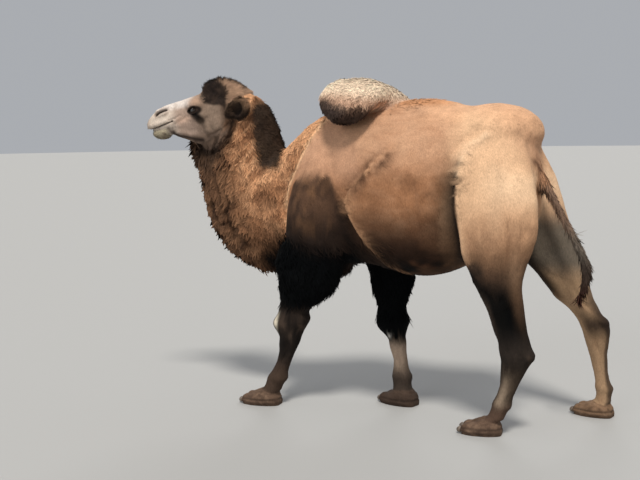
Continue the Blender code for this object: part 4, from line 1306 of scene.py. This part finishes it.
lay(on_tail * fall(z, 0.80, 0.95), (0.0, 0.0, -1.0))
lay(face_side, -head_f - 0.15 * head_u)
lay(face_side * fall(ahead, 0.10, 0.22) * fall(up, 0.0, 0.06), -0.7 * head_f - 0.8 * head_u)
lay(face_side * fall(up, -0.04, -0.02) * ramp(ahead, 0.38, 0.42), -head_f - 0.5 * head_u)
lay(crown * ramp(ahead, -0.02, 0.06), 0.35 * head_f + 0.8 * head_u)
lay(crown * fall(ahead, -0.02, 0.06), -0.8 * head_f + 0.25 * head_u)
ears_out = (head_s * np.sign(at[:, 2])[:, None]) * 0.5 - head_f * 0.84 + head_u * 0.2
flow = flow + (ears_out - flow) * on_ear[:, None]
ear_out = np.zeros((count, 3))
for tag in ("ear_left", "ear_right"):
    near_ear = owner == FLESH.index(tag)
    ear_out[near_ear] = points[near_ear] - np.array(middle(tag)[:])
# hairs of the rim fold over the hollow of the ear, those behind it stand outwards
over_hollow = ramp(ahead + 0.6 * up, -0.060, -0.010)
outwards = head_s * np.sign(at[:, 2])[:, None]
lay(ear_rim, unit(ear_out) * (1.0 - 2.0 * over_hollow)[:, None] + 0.5 * outwards + 0.2 * normals)
swirl = np.column_stack([noise(points, 9.0, 51 + k) for k in range(3)])
curls = np.column_stack([noise(points, 26.0, 61 + k) for k in range(3)])
woolly = (
    np.clip(neck_wool + on_hump + brisket + 0.6 * shag - 0.7 * front_wool, 0.0, 1.0) * (1.0 - on_head)
)
flow = unit(flow) + 0.22 * swirl + (0.10 + 0.45 * woolly)[:, None] * curls
flow -= normals * (flow * normals).sum(1)[:, None]
flow = unit(flow)

# ---------------------------------------------------------------- tufts
face_points = points[faces]
face_area = 0.5 * np.linalg.norm(
    np.cross(face_points[:, 1] - face_points[:, 0], face_points[:, 2] - face_points[:, 0]), axis=1
)
QUICK_SHARE = 1.0


def roots(number, density, seed):
    """Spots spread over the skin: face, shares of its corners."""
    pick = np.random.default_rng(seed)
    weight = face_area * np.clip(density, 0.0, None)[faces].mean(1)
    total = np.cumsum(weight)
    spots = (np.arange(number) + pick.random(number)) / number * total[-1]
    face = np.minimum(np.searchsorted(total, spots), len(faces) - 1)
    a = np.sqrt(pick.random(number))
    b = pick.random(number)
    share = np.column_stack((1.0 - a, a * (1.0 - b), a * b))
    return face, share


def tufts(
    name, number, density, length, width, thick, lift, curl, rings, seed, contrast=1.0, soft=0.5,
    wrap=0.0
):
    """One mesh of tapering closed tufts that lie along the coat's direction."""
    sides = 3
    number = max(int(number * QUICK_SHARE), 40)
    pick = np.random.default_rng(seed)
    face, share = roots(number, density, seed + 1)
    corner = faces[face]

    def carried(values):
        if values.ndim == 1:
            return (values[corner] * share).sum(1)
        return (values[corner] * share[:, :, None]).sum(1)

    spot = carried(points)
    normal = unit(carried(normals))
    way = carried(flow)
    way = unit(way - normal * (way * normal).sum(1)[:, None])
    across = np.cross(normal, way)
    turn = pick.normal(0.0, 0.16, number)
    way = unit(way * np.cos(turn)[:, None] + across * np.sin(turn)[:, None])
    across = np.cross(normal, way)
    hue = carried(colour)
    place = (charts[face] * share[:, :, None]).sum(1)

    def spread_of(value, loose=0.25):
        value = carried(value) if isinstance(value, np.ndarray) else np.full(number, value)
        return value * (1.0 + loose * pick.uniform(-1.0, 1.0, number))

    length = spread_of(length, 0.35)
    width = spread_of(width, 0.30)
    thick = spread_of(thick, 0.25)
    lift = spread_of(lift, 0.50)
    bend = spread_of(curl, 0.60) * pick.choice((-1.0, 1.0), number)
    light = 1.0 + 0.20 * contrast * pick.uniform(-1.0, 1.0, number)
    verts = np.zeros((number, rings * sides + 1, 3))
    shades = np.zeros((number, rings * sides + 1, 3))
    bent = np.zeros((number, rings * sides + 1, 3))
    uv = np.zeros((number, rings * sides + 1, 2))
    for k in range(rings + 1):
        t = k / rings
        rise = lift * (t - 0.35 * t * t) * length - 0.0012 - wrap * (length * t) ** 2
        swing = bend * length * t * t
        centre = spot + way * (length * (t - 0.10 * lift * t * t))[:, None]
        centre += normal * rise[:, None] + across * swing[:, None]
        full = (1.0 - t) ** 0.7 * (0.75 + 0.9 * t)
        # each tuft darker at its root and lighter at its tip: painted shade and light within the coat
        tint = hue * (light * (1.0 + contrast * (0.30 * t - 0.20)))[:, None]
        if k == rings:
            verts[:, -1] = centre
            bent[:, -1] = normal
            shades[:, -1] = tint
            uv[:, -1] = place + np.array((0.0, 0.0015))
            continue
        for s in range(sides):
            angle = 2.0 * math.pi * s / sides + 0.5 * math.pi
            off = across * (0.5 * width * full * math.cos(angle))[:, None]
            off += normal * (0.5 * thick * full * math.sin(angle) + 0.25 * thick * full)[:, None]
            verts[:, k * sides + s] = centre + off
            bent[:, k * sides + s] = normal + (1.0 - soft) * math.cos(angle) * across
            shades[:, k * sides + s] = tint
            uv[:, k * sides + s] = place + np.array((0.0013 * math.cos(angle), 0.0030 * t - 0.0015))
    # the floor stops any hair
    verts[:, :, 2] = np.maximum(verts[:, :, 2], 0.0005)
    pattern = []
    for k in range(rings - 1):
        for s in range(sides):
            n = (s + 1) % sides
            a, b = k * sides + s, k * sides + n
            pattern += [(a, b, b + sides), (a, b + sides, a + sides)]
    last = (rings - 1) * sides
    for s in range(sides):
        pattern.append((last + s, last + (s + 1) % sides, rings * sides))
    for s in range(1, sides - 1):
        pattern.append((0, s + 1, s))
    pattern = np.array(pattern)
    size = rings * sides + 1
    index = (pattern[None] + (np.arange(number) * size)[:, None, None]).reshape(-1, 3)
    mesh = bpy.data.meshes.new(name)
    mesh.vertices.add(number * size)
    mesh.vertices.foreach_set("co", verts.astype(np.float32).ravel())
    mesh.loops.add(index.size)
    mesh.loops.foreach_set("vertex_index", index.astype(np.int32).ravel())
    mesh.polygons.add(len(index))
    mesh.polygons.foreach_set("loop_start", np.arange(0, index.size, 3, dtype=np.int32))
    mesh.polygons.foreach_set("use_smooth", np.ones(len(index), bool))
    mesh.update(calc_edges=True)
    # hairs take the light of the hide they lie on
    mesh.normals_split_custom_set_from_vertices(unit(bent.reshape(-1, 3)).astype(np.float32))
    flat = uv.reshape(-1, 2)[index.ravel()]
    layer = mesh.uv_layers.new(name="OFBake")
    layer.data.foreach_set("uv", flat.astype(np.float32).ravel())
    set_colours(mesh, np.clip(shades.reshape(-1, 3), 0.0, 1.0))
    obj = new_object(name, mesh)
    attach(obj, "root")
    coats.append(obj)
    return obj


coats = []
plain = np.clip(1.0 - on_head - neck_wool - on_tail - on_hump - on_foot - shag, 0.0, 1.0)
low_leg = plain * fall(z, 0.55, 0.70)
broad = plain * ramp(z, 0.50, 0.70)
for name, number, own_side, wide, seed in (
    ("coat_trunk_near", 16000, ramp(x, -0.02, 0.02), 0.0042, 101),
    ("coat_trunk_far", 11500, fall(x, -0.02, 0.02), 0.0044, 103),
):
    tufts(
        name, number, broad * own_side, length=0.021, width=wide, thick=0.0009, lift=0.10, curl=0.08,
        rings=2, seed=seed, contrast=0.35, soft=1.0
    )
neck_hair = (
    np.maximum(neck_wool, 0.8 * chest * (1.0 - on_head)) * (1.0 - 0.7 * nape) * (1.0 - 0.85 * jaw_band)
    * (1.0 - on_cheek)
)
neck_length = 0.034 - 0.006 * front_wool
neck_lift = (0.24 - 0.14 * front_wool) * (1.0 - 0.7 * jaw_band)
hanging = ramp(-normals[:, 2], 0.35, 0.85)
for name, own_side, seed in (
    ("coat_neck_near", ramp(x, -0.01, 0.03), 105),
    ("coat_neck_far", fall(x, -0.01, 0.03), 107),
):
    tufts(
        name, 9800, neck_hair * own_side, length=neck_length, width=0.0125, thick=0.0058, lift=neck_lift,
        curl=0.38, rings=3, seed=seed, contrast=1.6, soft=0.15, wrap=2.5
    )
lower_front = (
    front_wool * (0.25 + 0.75 * fall(z, 0.95, 1.25)) * (1.0 - lock_gap) * (1.0 - on_cheek)
    * (1.0 - jaw_band)
)
tufts(
    "coat_throat", 3000, lower_front, length=0.052, width=0.018, thick=0.0085, lift=0.07 + 0.40 * hanging,
    curl=0.14, rings=4, seed=109, contrast=1.5, soft=0.15, wrap=2.0
)
tufts(
    "coat_mane", 5200, nape, length=0.030, width=0.0080, thick=0.003, lift=0.42, curl=0.25, rings=3,
    seed=111, contrast=0.8
)
tufts(
    "coat_shag_near", 9500, shag + 0.8 * shag_far + 0.6 * brisket * (1.0 - shag), length=0.052,
    width=0.0095, thick=0.0036, lift=0.28, curl=0.28, rings=3, seed=113, contrast=1.0,
    soft=0.5, wrap=1.5
)
top_wool = ramp(z, 1.68, 1.72) * plain * ramp(y, 0.1, 0.2) * fall(y + 0.6 * x, 0.36, 0.46)
tufts(
    "coat_hump", 8500, on_hump + 0.35 * top_wool + 0.7 * withers, length=0.024, width=0.0085,
    thick=0.0032, lift=0.34, curl=0.40, rings=3, seed=115, contrast=0.8
)
tufts(
    "coat_crown", 5200, crown + 0.4 * poll, length=0.014 + 0.020 * crown, width=0.0065, thick=0.0026,
    lift=0.55, curl=0.25, rings=3, seed=117, contrast=0.8
)
tufts(
    "coat_ear", 4800, 1.5 * ear_rim + ear_inside, length=0.014 + 0.014 * ear_rim, width=0.0036,
    thick=0.0013, lift=0.50, curl=0.25, rings=3, seed=118, contrast=1.2
)
tufts(
    "coat_chin", 1600, chin + 0.25 * face_side * ramp(ahead, 0.46, 0.50) * fall(up, -0.01, 0.02),
    length=0.013, width=0.0024, thick=0.0009, lift=0.42, curl=0.30, rings=3, seed=120,
    contrast=1.3
)
face_fur = face_side * (1.0 - crown) * fall(socket, 1.2, 0.9) * (0.4 + 0.6 * fall(ahead, 0.30, 0.46))
tufts(
    "coat_face", 12000, face_fur + 0.8 * on_ear, length=0.0095, width=0.0021, thick=0.0006, lift=0.13,
    curl=0.10, rings=2, seed=119, contrast=0.5, soft=1.0
)
tufts(
    "coat_legs", 11000, low_leg + 0.15 * on_foot * ramp(z, 0.05, 0.09), length=0.014, width=0.0032,
    thick=0.0008, lift=0.12, curl=0.08, rings=2, seed=121, contrast=0.5, soft=1.0
)
tufts(
    "coat_tail", 4000, on_tail, length=0.060, width=0.0064, thick=0.0026, lift=0.10, curl=0.10, rings=4,
    seed=123
)

# ---------------------------------------------------------------- materials


def material(name):
    made = bpy.data.materials.new(name)
    made.use_nodes = True
    tree = made.node_tree
    return made, tree, tree.nodes["Principled BSDF"]


def node(tree, kind, **values):
    made = tree.nodes.new(kind)
    for key, value in values.items():
        if key in made.inputs:
            made.inputs[key].default_value = value
        else:
            setattr(made, key, value)
    return made


def remap(tree, source, low, high, start=0.0, end=1.0):
    """A node that turns start to end into low to high."""
    made = node(tree, "ShaderNodeMapRange")
    for key, value in (("From Min", start), ("From Max", end), ("To Min", low), ("To Max", high)):
        made.inputs[key].default_value = value
    tree.links.new(source, made.inputs["Value"])
    return made.outputs["Result"]


def fur_material(name, roughness, grain, bump, sheen):
    """Coat colour carried by the mesh, broken up by hair-fine noise, with a matching bump."""
    made, tree, shader = material(name)
    link = tree.links.new
    mark = node(tree, "ShaderNodeAttribute", attribute_name="marking")
    spot = node(tree, "ShaderNodeTexCoord")
    broad = node(tree, "ShaderNodeTexNoise", Scale=14.0, Detail=4.0, Roughness=0.6)
    hairs = node(tree, "ShaderNodeTexNoise", Scale=grain, Detail=5.0, Roughness=0.65)
    link(spot.outputs["Object"], broad.inputs["Vector"])
    stretch = node(tree, "ShaderNodeMapping")
    stretch.inputs["Scale"].default_value = (1.0, 0.75, 0.35)
    link(spot.outputs["Object"], stretch.inputs["Vector"])
    link(stretch.outputs["Vector"], hairs.inputs["Vector"])
    both = node(tree, "ShaderNodeMath", operation="MULTIPLY")
    link(remap(tree, hairs.outputs["Fac"], 0.80, 1.20, 0.30, 0.70), both.inputs[0])
    link(remap(tree, broad.outputs["Fac"], 0.88, 1.12, 0.30, 0.70), both.inputs[1])
    shade = node(tree, "ShaderNodeVectorMath", operation="SCALE")
    link(mark.outputs["Color"], shade.inputs[0])
    link(both.outputs["Value"], shade.inputs["Scale"])
    link(shade.outputs["Vector"], shader.inputs["Base Color"])
    rough = remap(tree, hairs.outputs["Fac"], roughness - 0.08, roughness + 0.08)
    link(rough, shader.inputs["Roughness"])
    raised = node(tree, "ShaderNodeBump", Strength=bump, Distance=0.004)
    link(hairs.outputs["Fac"], raised.inputs["Height"])
    link(raised.outputs["Normal"], shader.inputs["Normal"])
    shader.inputs["Sheen Weight"].default_value = sheen
    shader.inputs["Sheen Roughness"].default_value = 0.6
    shader.inputs["Specular IOR Level"].default_value = 0.06
    return made


hide = fur_material("hide", 0.82, 210.0, 0.45, 0.01)
hair = fur_material("hair", 0.76, 160.0, 0.20, 0.01)
skin.data.materials.append(hide)
for obj in coats:
    obj.data.materials.append(hair)
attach(skin, "root")
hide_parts(*FLESH)

# ---------------------------------------------------------------- eyes, lids and lashes


def eye_material():
    made, tree, shader = material("eye_ball")
    link = tree.links.new
    ring = node(tree, "ShaderNodeAttribute", attribute_name="ring")
    ramp_node = node(tree, "ShaderNodeValToRGB")
    stops = ramp_node.color_ramp.elements
    stops[0].position = 0.0
    stops[0].color = (0.004, 0.003, 0.003, 1.0)
    stops[1].position = 1.0
    stops[1].color = (0.30, 0.22, 0.17, 1.0)
    # from the pupil through the iris to the white
    for place, shade in (
        (0.30, (0.006, 0.004, 0.003, 1.0)),
        (0.36, (0.050, 0.026, 0.012, 1.0)),
        (0.56, (0.070, 0.036, 0.018, 1.0)),
        (0.66, (0.012, 0.008, 0.006, 1.0)),
        (0.74, (0.10, 0.07, 0.055, 1.0)),
    ):
        stops.new(place).color = shade
    link(ring.outputs["Fac"], ramp_node.inputs["Fac"])
    spot = node(tree, "ShaderNodeTexCoord")
    streak = node(tree, "ShaderNodeTexNoise", Scale=900.0, Detail=3.0)
    link(spot.outputs["Object"], streak.inputs["Vector"])
    mix = node(tree, "ShaderNodeMix", data_type="RGBA", blend_type="MULTIPLY")
    mix.inputs["Factor"].default_value = 0.4
    link(ramp_node.outputs["Color"], mix.inputs["A"])
    link(streak.outputs["Fac"], mix.inputs["B"])
    link(mix.outputs["Result"], shader.inputs["Base Color"])
    shader.inputs["Roughness"].default_value = 0.08
    shader.inputs["Coat Weight"].default_value = 1.0
    shader.inputs["Coat Roughness"].default_value = 0.02
    return made


def plain_mesh(name, verts, faces):
    mesh = bpy.data.meshes.new(name)
    mesh.from_pydata([tuple(v) for v in verts], [], [tuple(f) for f in faces])
    mesh.update()
    mesh.shade_smooth()
    return mesh


eye_look = eye_material()
lid_look = fur_material("lid_hide", 0.60, 260.0, 0.45, 0.05)
lash_look = fur_material("lash", 0.55, 160.0, 0.10, 0.0)
EYE_TURNS = 48
EYE_RINGS = 28
LID_TURNS = 56
# how far out from the slit each ring of the lids lies, as a share of the slit, and how proud of the ball
LID_RINGS = (
    (0.93, -0.0005), (1.0, 0.0016), (1.06, 0.0034), (1.18, 0.0040), (1.34, 0.0030),
    (1.46, 0.0042), (1.66, 0.0040), (1.95, 0.0020), (2.3, -0.0030),
)
# number of lashes, their length, and 1 for the upper lid or -1 for the lower one
LASH_ROWS = ((34, 0.017, 1.0), (30, 0.013, 1.0), (22, 0.008, -1.0))


def add_piece(name, mesh):
    obj = new_object(name, mesh)
    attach(obj, "root")
    return obj


def add_ball(which, centre, out, fore, top):
    verts = []
    ring_values = []
    for i in range(EYE_RINGS + 1):
        polar = math.pi * i / EYE_RINGS
        for j in range(EYE_TURNS):
            angle = 2.0 * math.pi * j / EYE_TURNS
            f = math.sin(polar) * math.cos(angle)
            t = math.sin(polar) * math.sin(angle)
            swell = 1.0 + 0.055 * math.exp(-((polar / 0.55) ** 4))
            verts.append(centre + EYE_RADIUS * swell * (out * math.cos(polar) + fore * f + top * t))
            # the pupil is a level slot
            stretched = math.hypot(f / 1.5, t / 0.75) if polar < 0.5 * math.pi else 2.0
            round_part = math.sin(min(polar, 0.5 * math.pi))
            blend = min(1.0, max(0.0, (round_part - 0.35) / 0.2))
            ring_values.append((1.0 - blend) * stretched * 0.9 + blend * round_part)
    quads = []
    for i in range(EYE_RINGS):
        for j in range(EYE_TURNS):
            n = (j + 1) % EYE_TURNS
            quads.append(
                (i * EYE_TURNS + j, (i + 1) * EYE_TURNS + j, (i + 1) * EYE_TURNS + n, i * EYE_TURNS + n)
            )
    ball = plain_mesh(which + "_ball", verts, quads)
    bm = bmesh.new()
    bm.from_mesh(ball)
    keep = bm.verts.layers.float.new("ring")
    bm.verts.ensure_lookup_table()
    for v, value in zip(bm.verts, ring_values):
        v[keep] = value
    bmesh.ops.remove_doubles(bm, verts=bm.verts, dist=0.00001)
    bmesh.ops.recalc_face_normals(bm, faces=bm.faces)
    bm.to_mesh(ball)
    bm.free()
    ball.materials.append(eye_look)
    obj = add_piece(which + "_ball", ball)
    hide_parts(which)


def add_lids(which, centre, out, fore, top):
    """A folded rim round the slit, running out under the skin."""
    verts = []
    for grow, proud in LID_RINGS:
        for j in range(LID_TURNS):
            angle = 2.0 * math.pi * j / LID_TURNS
            c, s = math.cos(angle), math.sin(angle)
            high = OPEN_HEIGHT if s > 0.0 else LOWER_SHARE * OPEN_HEIGHT
            corner = abs(c) ** 3
            f = OPEN_LENGTH * c * (1.0 + (grow - 1.0) * 0.62)
            t = high * s * (1.0 - 0.30 * corner) * grow
            flat_reach = min(math.hypot(f, t), EYE_RADIUS * 0.985)
            rise = math.sqrt(EYE_RADIUS ** 2 - flat_reach ** 2)
            rise = max(rise, EYE_RADIUS * (0.62 - 0.20 * (grow - 1.0)))
            scale_out = (EYE_RADIUS + proud) / EYE_RADIUS
            verts.append(centre + (out * rise + fore * f + top * t) * scale_out)
    quads = []
    for i in range(len(LID_RINGS) - 1):
        inner_ring = i * LID_TURNS
        outer_ring = inner_ring + LID_TURNS
        for j in range(LID_TURNS):
            n = (j + 1) % LID_TURNS
            quads.append((inner_ring + j, inner_ring + n, outer_ring + n, outer_ring + j))
    lid = plain_mesh(which + "_lids", verts, quads)
    shades = np.zeros((len(verts), 3))
    for i, (grow, _) in enumerate(LID_RINGS):
        look = (34, 27, 24) if grow < 1.1 else (58, 45, 38)
        shades[i * LID_TURNS:(i + 1) * LID_TURNS] = tone(*look)
    set_colours(lid, shades)
    thick_lid = new_object(which + "_lids", lid)
    thick_lid.data.materials.append(lid_look)
    solid = thick_lid.modifiers.new("thickness", "SOLIDIFY")
    solid.thickness = 0.0012
    solid.offset = -1.0
    smooth = thick_lid.modifiers.new("round", "SUBSURF")
    smooth.levels = 1
    smooth.render_levels = 1
    applied(thick_lid)
    thick_lid.data.shade_smooth()
    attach(thick_lid, "root")


def add_lashes(which, centre, out, fore, top):
    """Two rows of thin curved spikes on the upper lid, one short row below."""
    verts = []
    quads = []
    pick = np.random.default_rng(71)
    for row, (number, long, sense) in enumerate(LASH_ROWS):
        for j in range(number):
            angle = math.pi * (0.10 + 0.80 * (j + 0.5 * (row == 1)) / number) * sense
            c, s = math.cos(angle), math.sin(angle)
            high = OPEN_HEIGHT if s > 0.0 else LOWER_SHARE * OPEN_HEIGHT
            f = OPEN_LENGTH * c
            t = high * s * (1.0 - 0.30 * abs(c) ** 3)
            rise = math.sqrt(max(EYE_RADIUS ** 2 - f * f - t * t, (0.62 * EYE_RADIUS) ** 2))
            base = centre + (out * rise + fore * f + top * t) * 1.14
            grow_way = out * 0.85 + fore * (0.35 * c) + top * (0.10 * sense + 0.05 * pick.normal())
            reach = long * (0.8 + 0.4 * pick.random())
            start = len(verts)
            for k, part in enumerate((0.0, 0.35, 0.7, 1.0)):
                spot = base + grow_way * (reach * part) - top * (sense * 0.45 * reach * part * part)
                half = 0.00065 * (1.0 - part) + 0.00012
                verts += (
                    [spot + fore * half, spot - fore * half + top * half, spot - fore * half - top * half]
                )
            for k in range(3):
                for a in range(3):
                    b = (a + 1) % 3
                    quads.append(
                        (start + 3 * k + a, start + 3 * k + b, start + 3 * k + 3 + b, start + 3 * k + 3
                        + a)
                    )
            quads.append((start, start + 2, start + 1))
            quads.append((start + 9, start + 10, start + 11))
    lash = plain_mesh(which + "_lashes", verts, quads)
    set_colours(lash, np.tile(tone(30, 24, 21), (len(verts), 1)))
    lash.materials.append(lash_look)
    add_piece(which + "_lashes", lash)


for eye in eyes:
    add_ball(*eye)
    add_lids(*eye)
    add_lashes(*eye)

# ---------------------------------------------------------------- nails


def nail_material():
    made, tree, shader = material("nail_horn")
    link = tree.links.new
    spot = node(tree, "ShaderNodeTexCoord")
    grow_lines = node(tree, "ShaderNodeTexWave", Scale=90.0, Distortion=3.0, Detail=3.0)
    grow_lines.bands_direction = "Z"
    link(spot.outputs["Object"], grow_lines.inputs["Vector"])
    stain = node(tree, "ShaderNodeTexNoise", Scale=60.0, Detail=5.0)
    link(spot.outputs["Object"], stain.inputs["Vector"])
    shades = node(tree, "ShaderNodeValToRGB")
    shades.color_ramp.elements[0].position = 0.3
    shades.color_ramp.elements[0].color = (0.050, 0.036, 0.027, 1.0)
    shades.color_ramp.elements[1].position = 0.75
    shades.color_ramp.elements[1].color = (0.22, 0.165, 0.12, 1.0)
    link(stain.outputs["Fac"], shades.inputs["Fac"])
    link(shades.outputs["Color"], shader.inputs["Base Color"])
    raised = node(tree, "ShaderNodeBump", Strength=0.35, Distance=0.0006)
    link(grow_lines.outputs["Fac"], raised.inputs["Height"])
    link(raised.outputs["Normal"], shader.inputs["Normal"])
    link(remap(tree, stain.outputs["Fac"], 0.32, 0.62), shader.inputs["Roughness"])
    return made


nail_look = nail_material()
for name in NAILS:
    lo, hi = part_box(name)
    mid = middle(name)
    size = 0.5 * (Vector(hi) - Vector(lo))
    bm = bmesh.new()
    bmesh.ops.create_uvsphere(bm, u_segments=28, v_segments=18, radius=1.0)
    for v in bm.verts:
        a, b, c = v.co
        # blunt claw: flat under, ridged above, drawn forward and down at the tip
        c = c * (1.0 if c > 0.0 else 0.85)
        point = max(0.0, -b)
        c -= 0.35 * point * max(c, 0.0)
        a *= 1.0 - 0.22 * point * point
        v.co = Vector((mid.x + a * size.x, mid.y + b * size.y, mid.z + c * size.z))
    mesh = bpy.data.meshes.new(name + "_horn")
    bm.to_mesh(mesh)
    bm.free()
    mesh.shade_smooth()
    mesh.materials.append(nail_look)
    obj = add_piece(name + "_horn", mesh)
    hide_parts(name)

# ---------------------------------------------------------------- floor, light, camera
FLOOR_RADIUS = 60.0
bm = bmesh.new()
bmesh.ops.create_circle(bm, cap_ends=True, segments=96, radius=FLOOR_RADIUS)
floor_mesh = bpy.data.meshes.new("floor")
bm.to_mesh(floor_mesh)
bm.free()
floor = new_object("floor", floor_mesh)
floor_look, _, floor_shader = material("floor_pale")
floor_shader.inputs["Base Color"].default_value = (0.42, 0.415, 0.40, 1.0)
floor_shader.inputs["Roughness"].default_value = 0.9
floor.data.materials.append(floor_look)
floor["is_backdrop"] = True

world = bpy.data.worlds.new("studio")
bpy.context.scene.world = world
world.use_nodes = True
world.node_tree.nodes["Background"].inputs["Color"].default_value = (0.80, 0.83, 0.88, 1.0)
world.node_tree.nodes["Background"].inputs["Strength"].default_value = 0.50


def sun(name, toward, softness, power, hue):
    """A soft distant light that shines from the direction given."""
    light = bpy.data.lights.new(name, "SUN")
    light.angle = math.radians(softness)
    light.energy = power
    light.color = hue
    obj = new_object(name, light)
    obj.rotation_euler = (-Vector(toward)).to_track_quat("-Z", "Y").to_euler()
    return obj


sun("key", (0.56, 0.26, 1.05), 12.0, 2.65, (1.0, 0.965, 0.91))
sun("fill", (1.0, -0.35, 0.35), 40.0, 0.55, (0.93, 0.96, 1.0))
sun("back", (-1.0, -0.25, 0.70), 25.0, 0.60, (0.97, 0.98, 1.0))
bpy.context.scene.view_settings.view_transform = "Standard"
bpy.context.scene.view_settings.look = "None"

CAMERA_TURN = math.radians(116.5)
CAMERA_DOWN = math.radians(6.65)
CAMERA_ROLL = math.radians(0.75)
CAMERA_REACH = 5.75
CAMERA_HEIGHT = 1.62
AIM = Vector((0.042, -0.2985, 0.0))
back = Vector((math.sin(CAMERA_TURN), -math.cos(CAMERA_TURN), 0.0))
look = -back * math.cos(CAMERA_DOWN) - Vector((0.0, 0.0, math.sin(CAMERA_DOWN)))
right = Vector((math.cos(CAMERA_TURN), math.sin(CAMERA_TURN), 0.0))
over = right.cross(look)
turned = Matrix((right, over, -look)).transposed() @ Matrix.Rotation(-CAMERA_ROLL, 3, "Z")
place = AIM + back * CAMERA_REACH
place.z = CAMERA_HEIGHT
camera_data = bpy.data.cameras.new("camera")
camera_data.sensor_width = 36.0
camera_data.lens = 56.25
camera = new_object("camera", camera_data)
matrix = turned.to_4x4()
matrix.translation = place
camera.matrix_world = matrix
bpy.context.scene.camera = camera

size = {"cad": [list(c) for c in cad_box], "visual": [list(c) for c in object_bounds()]}
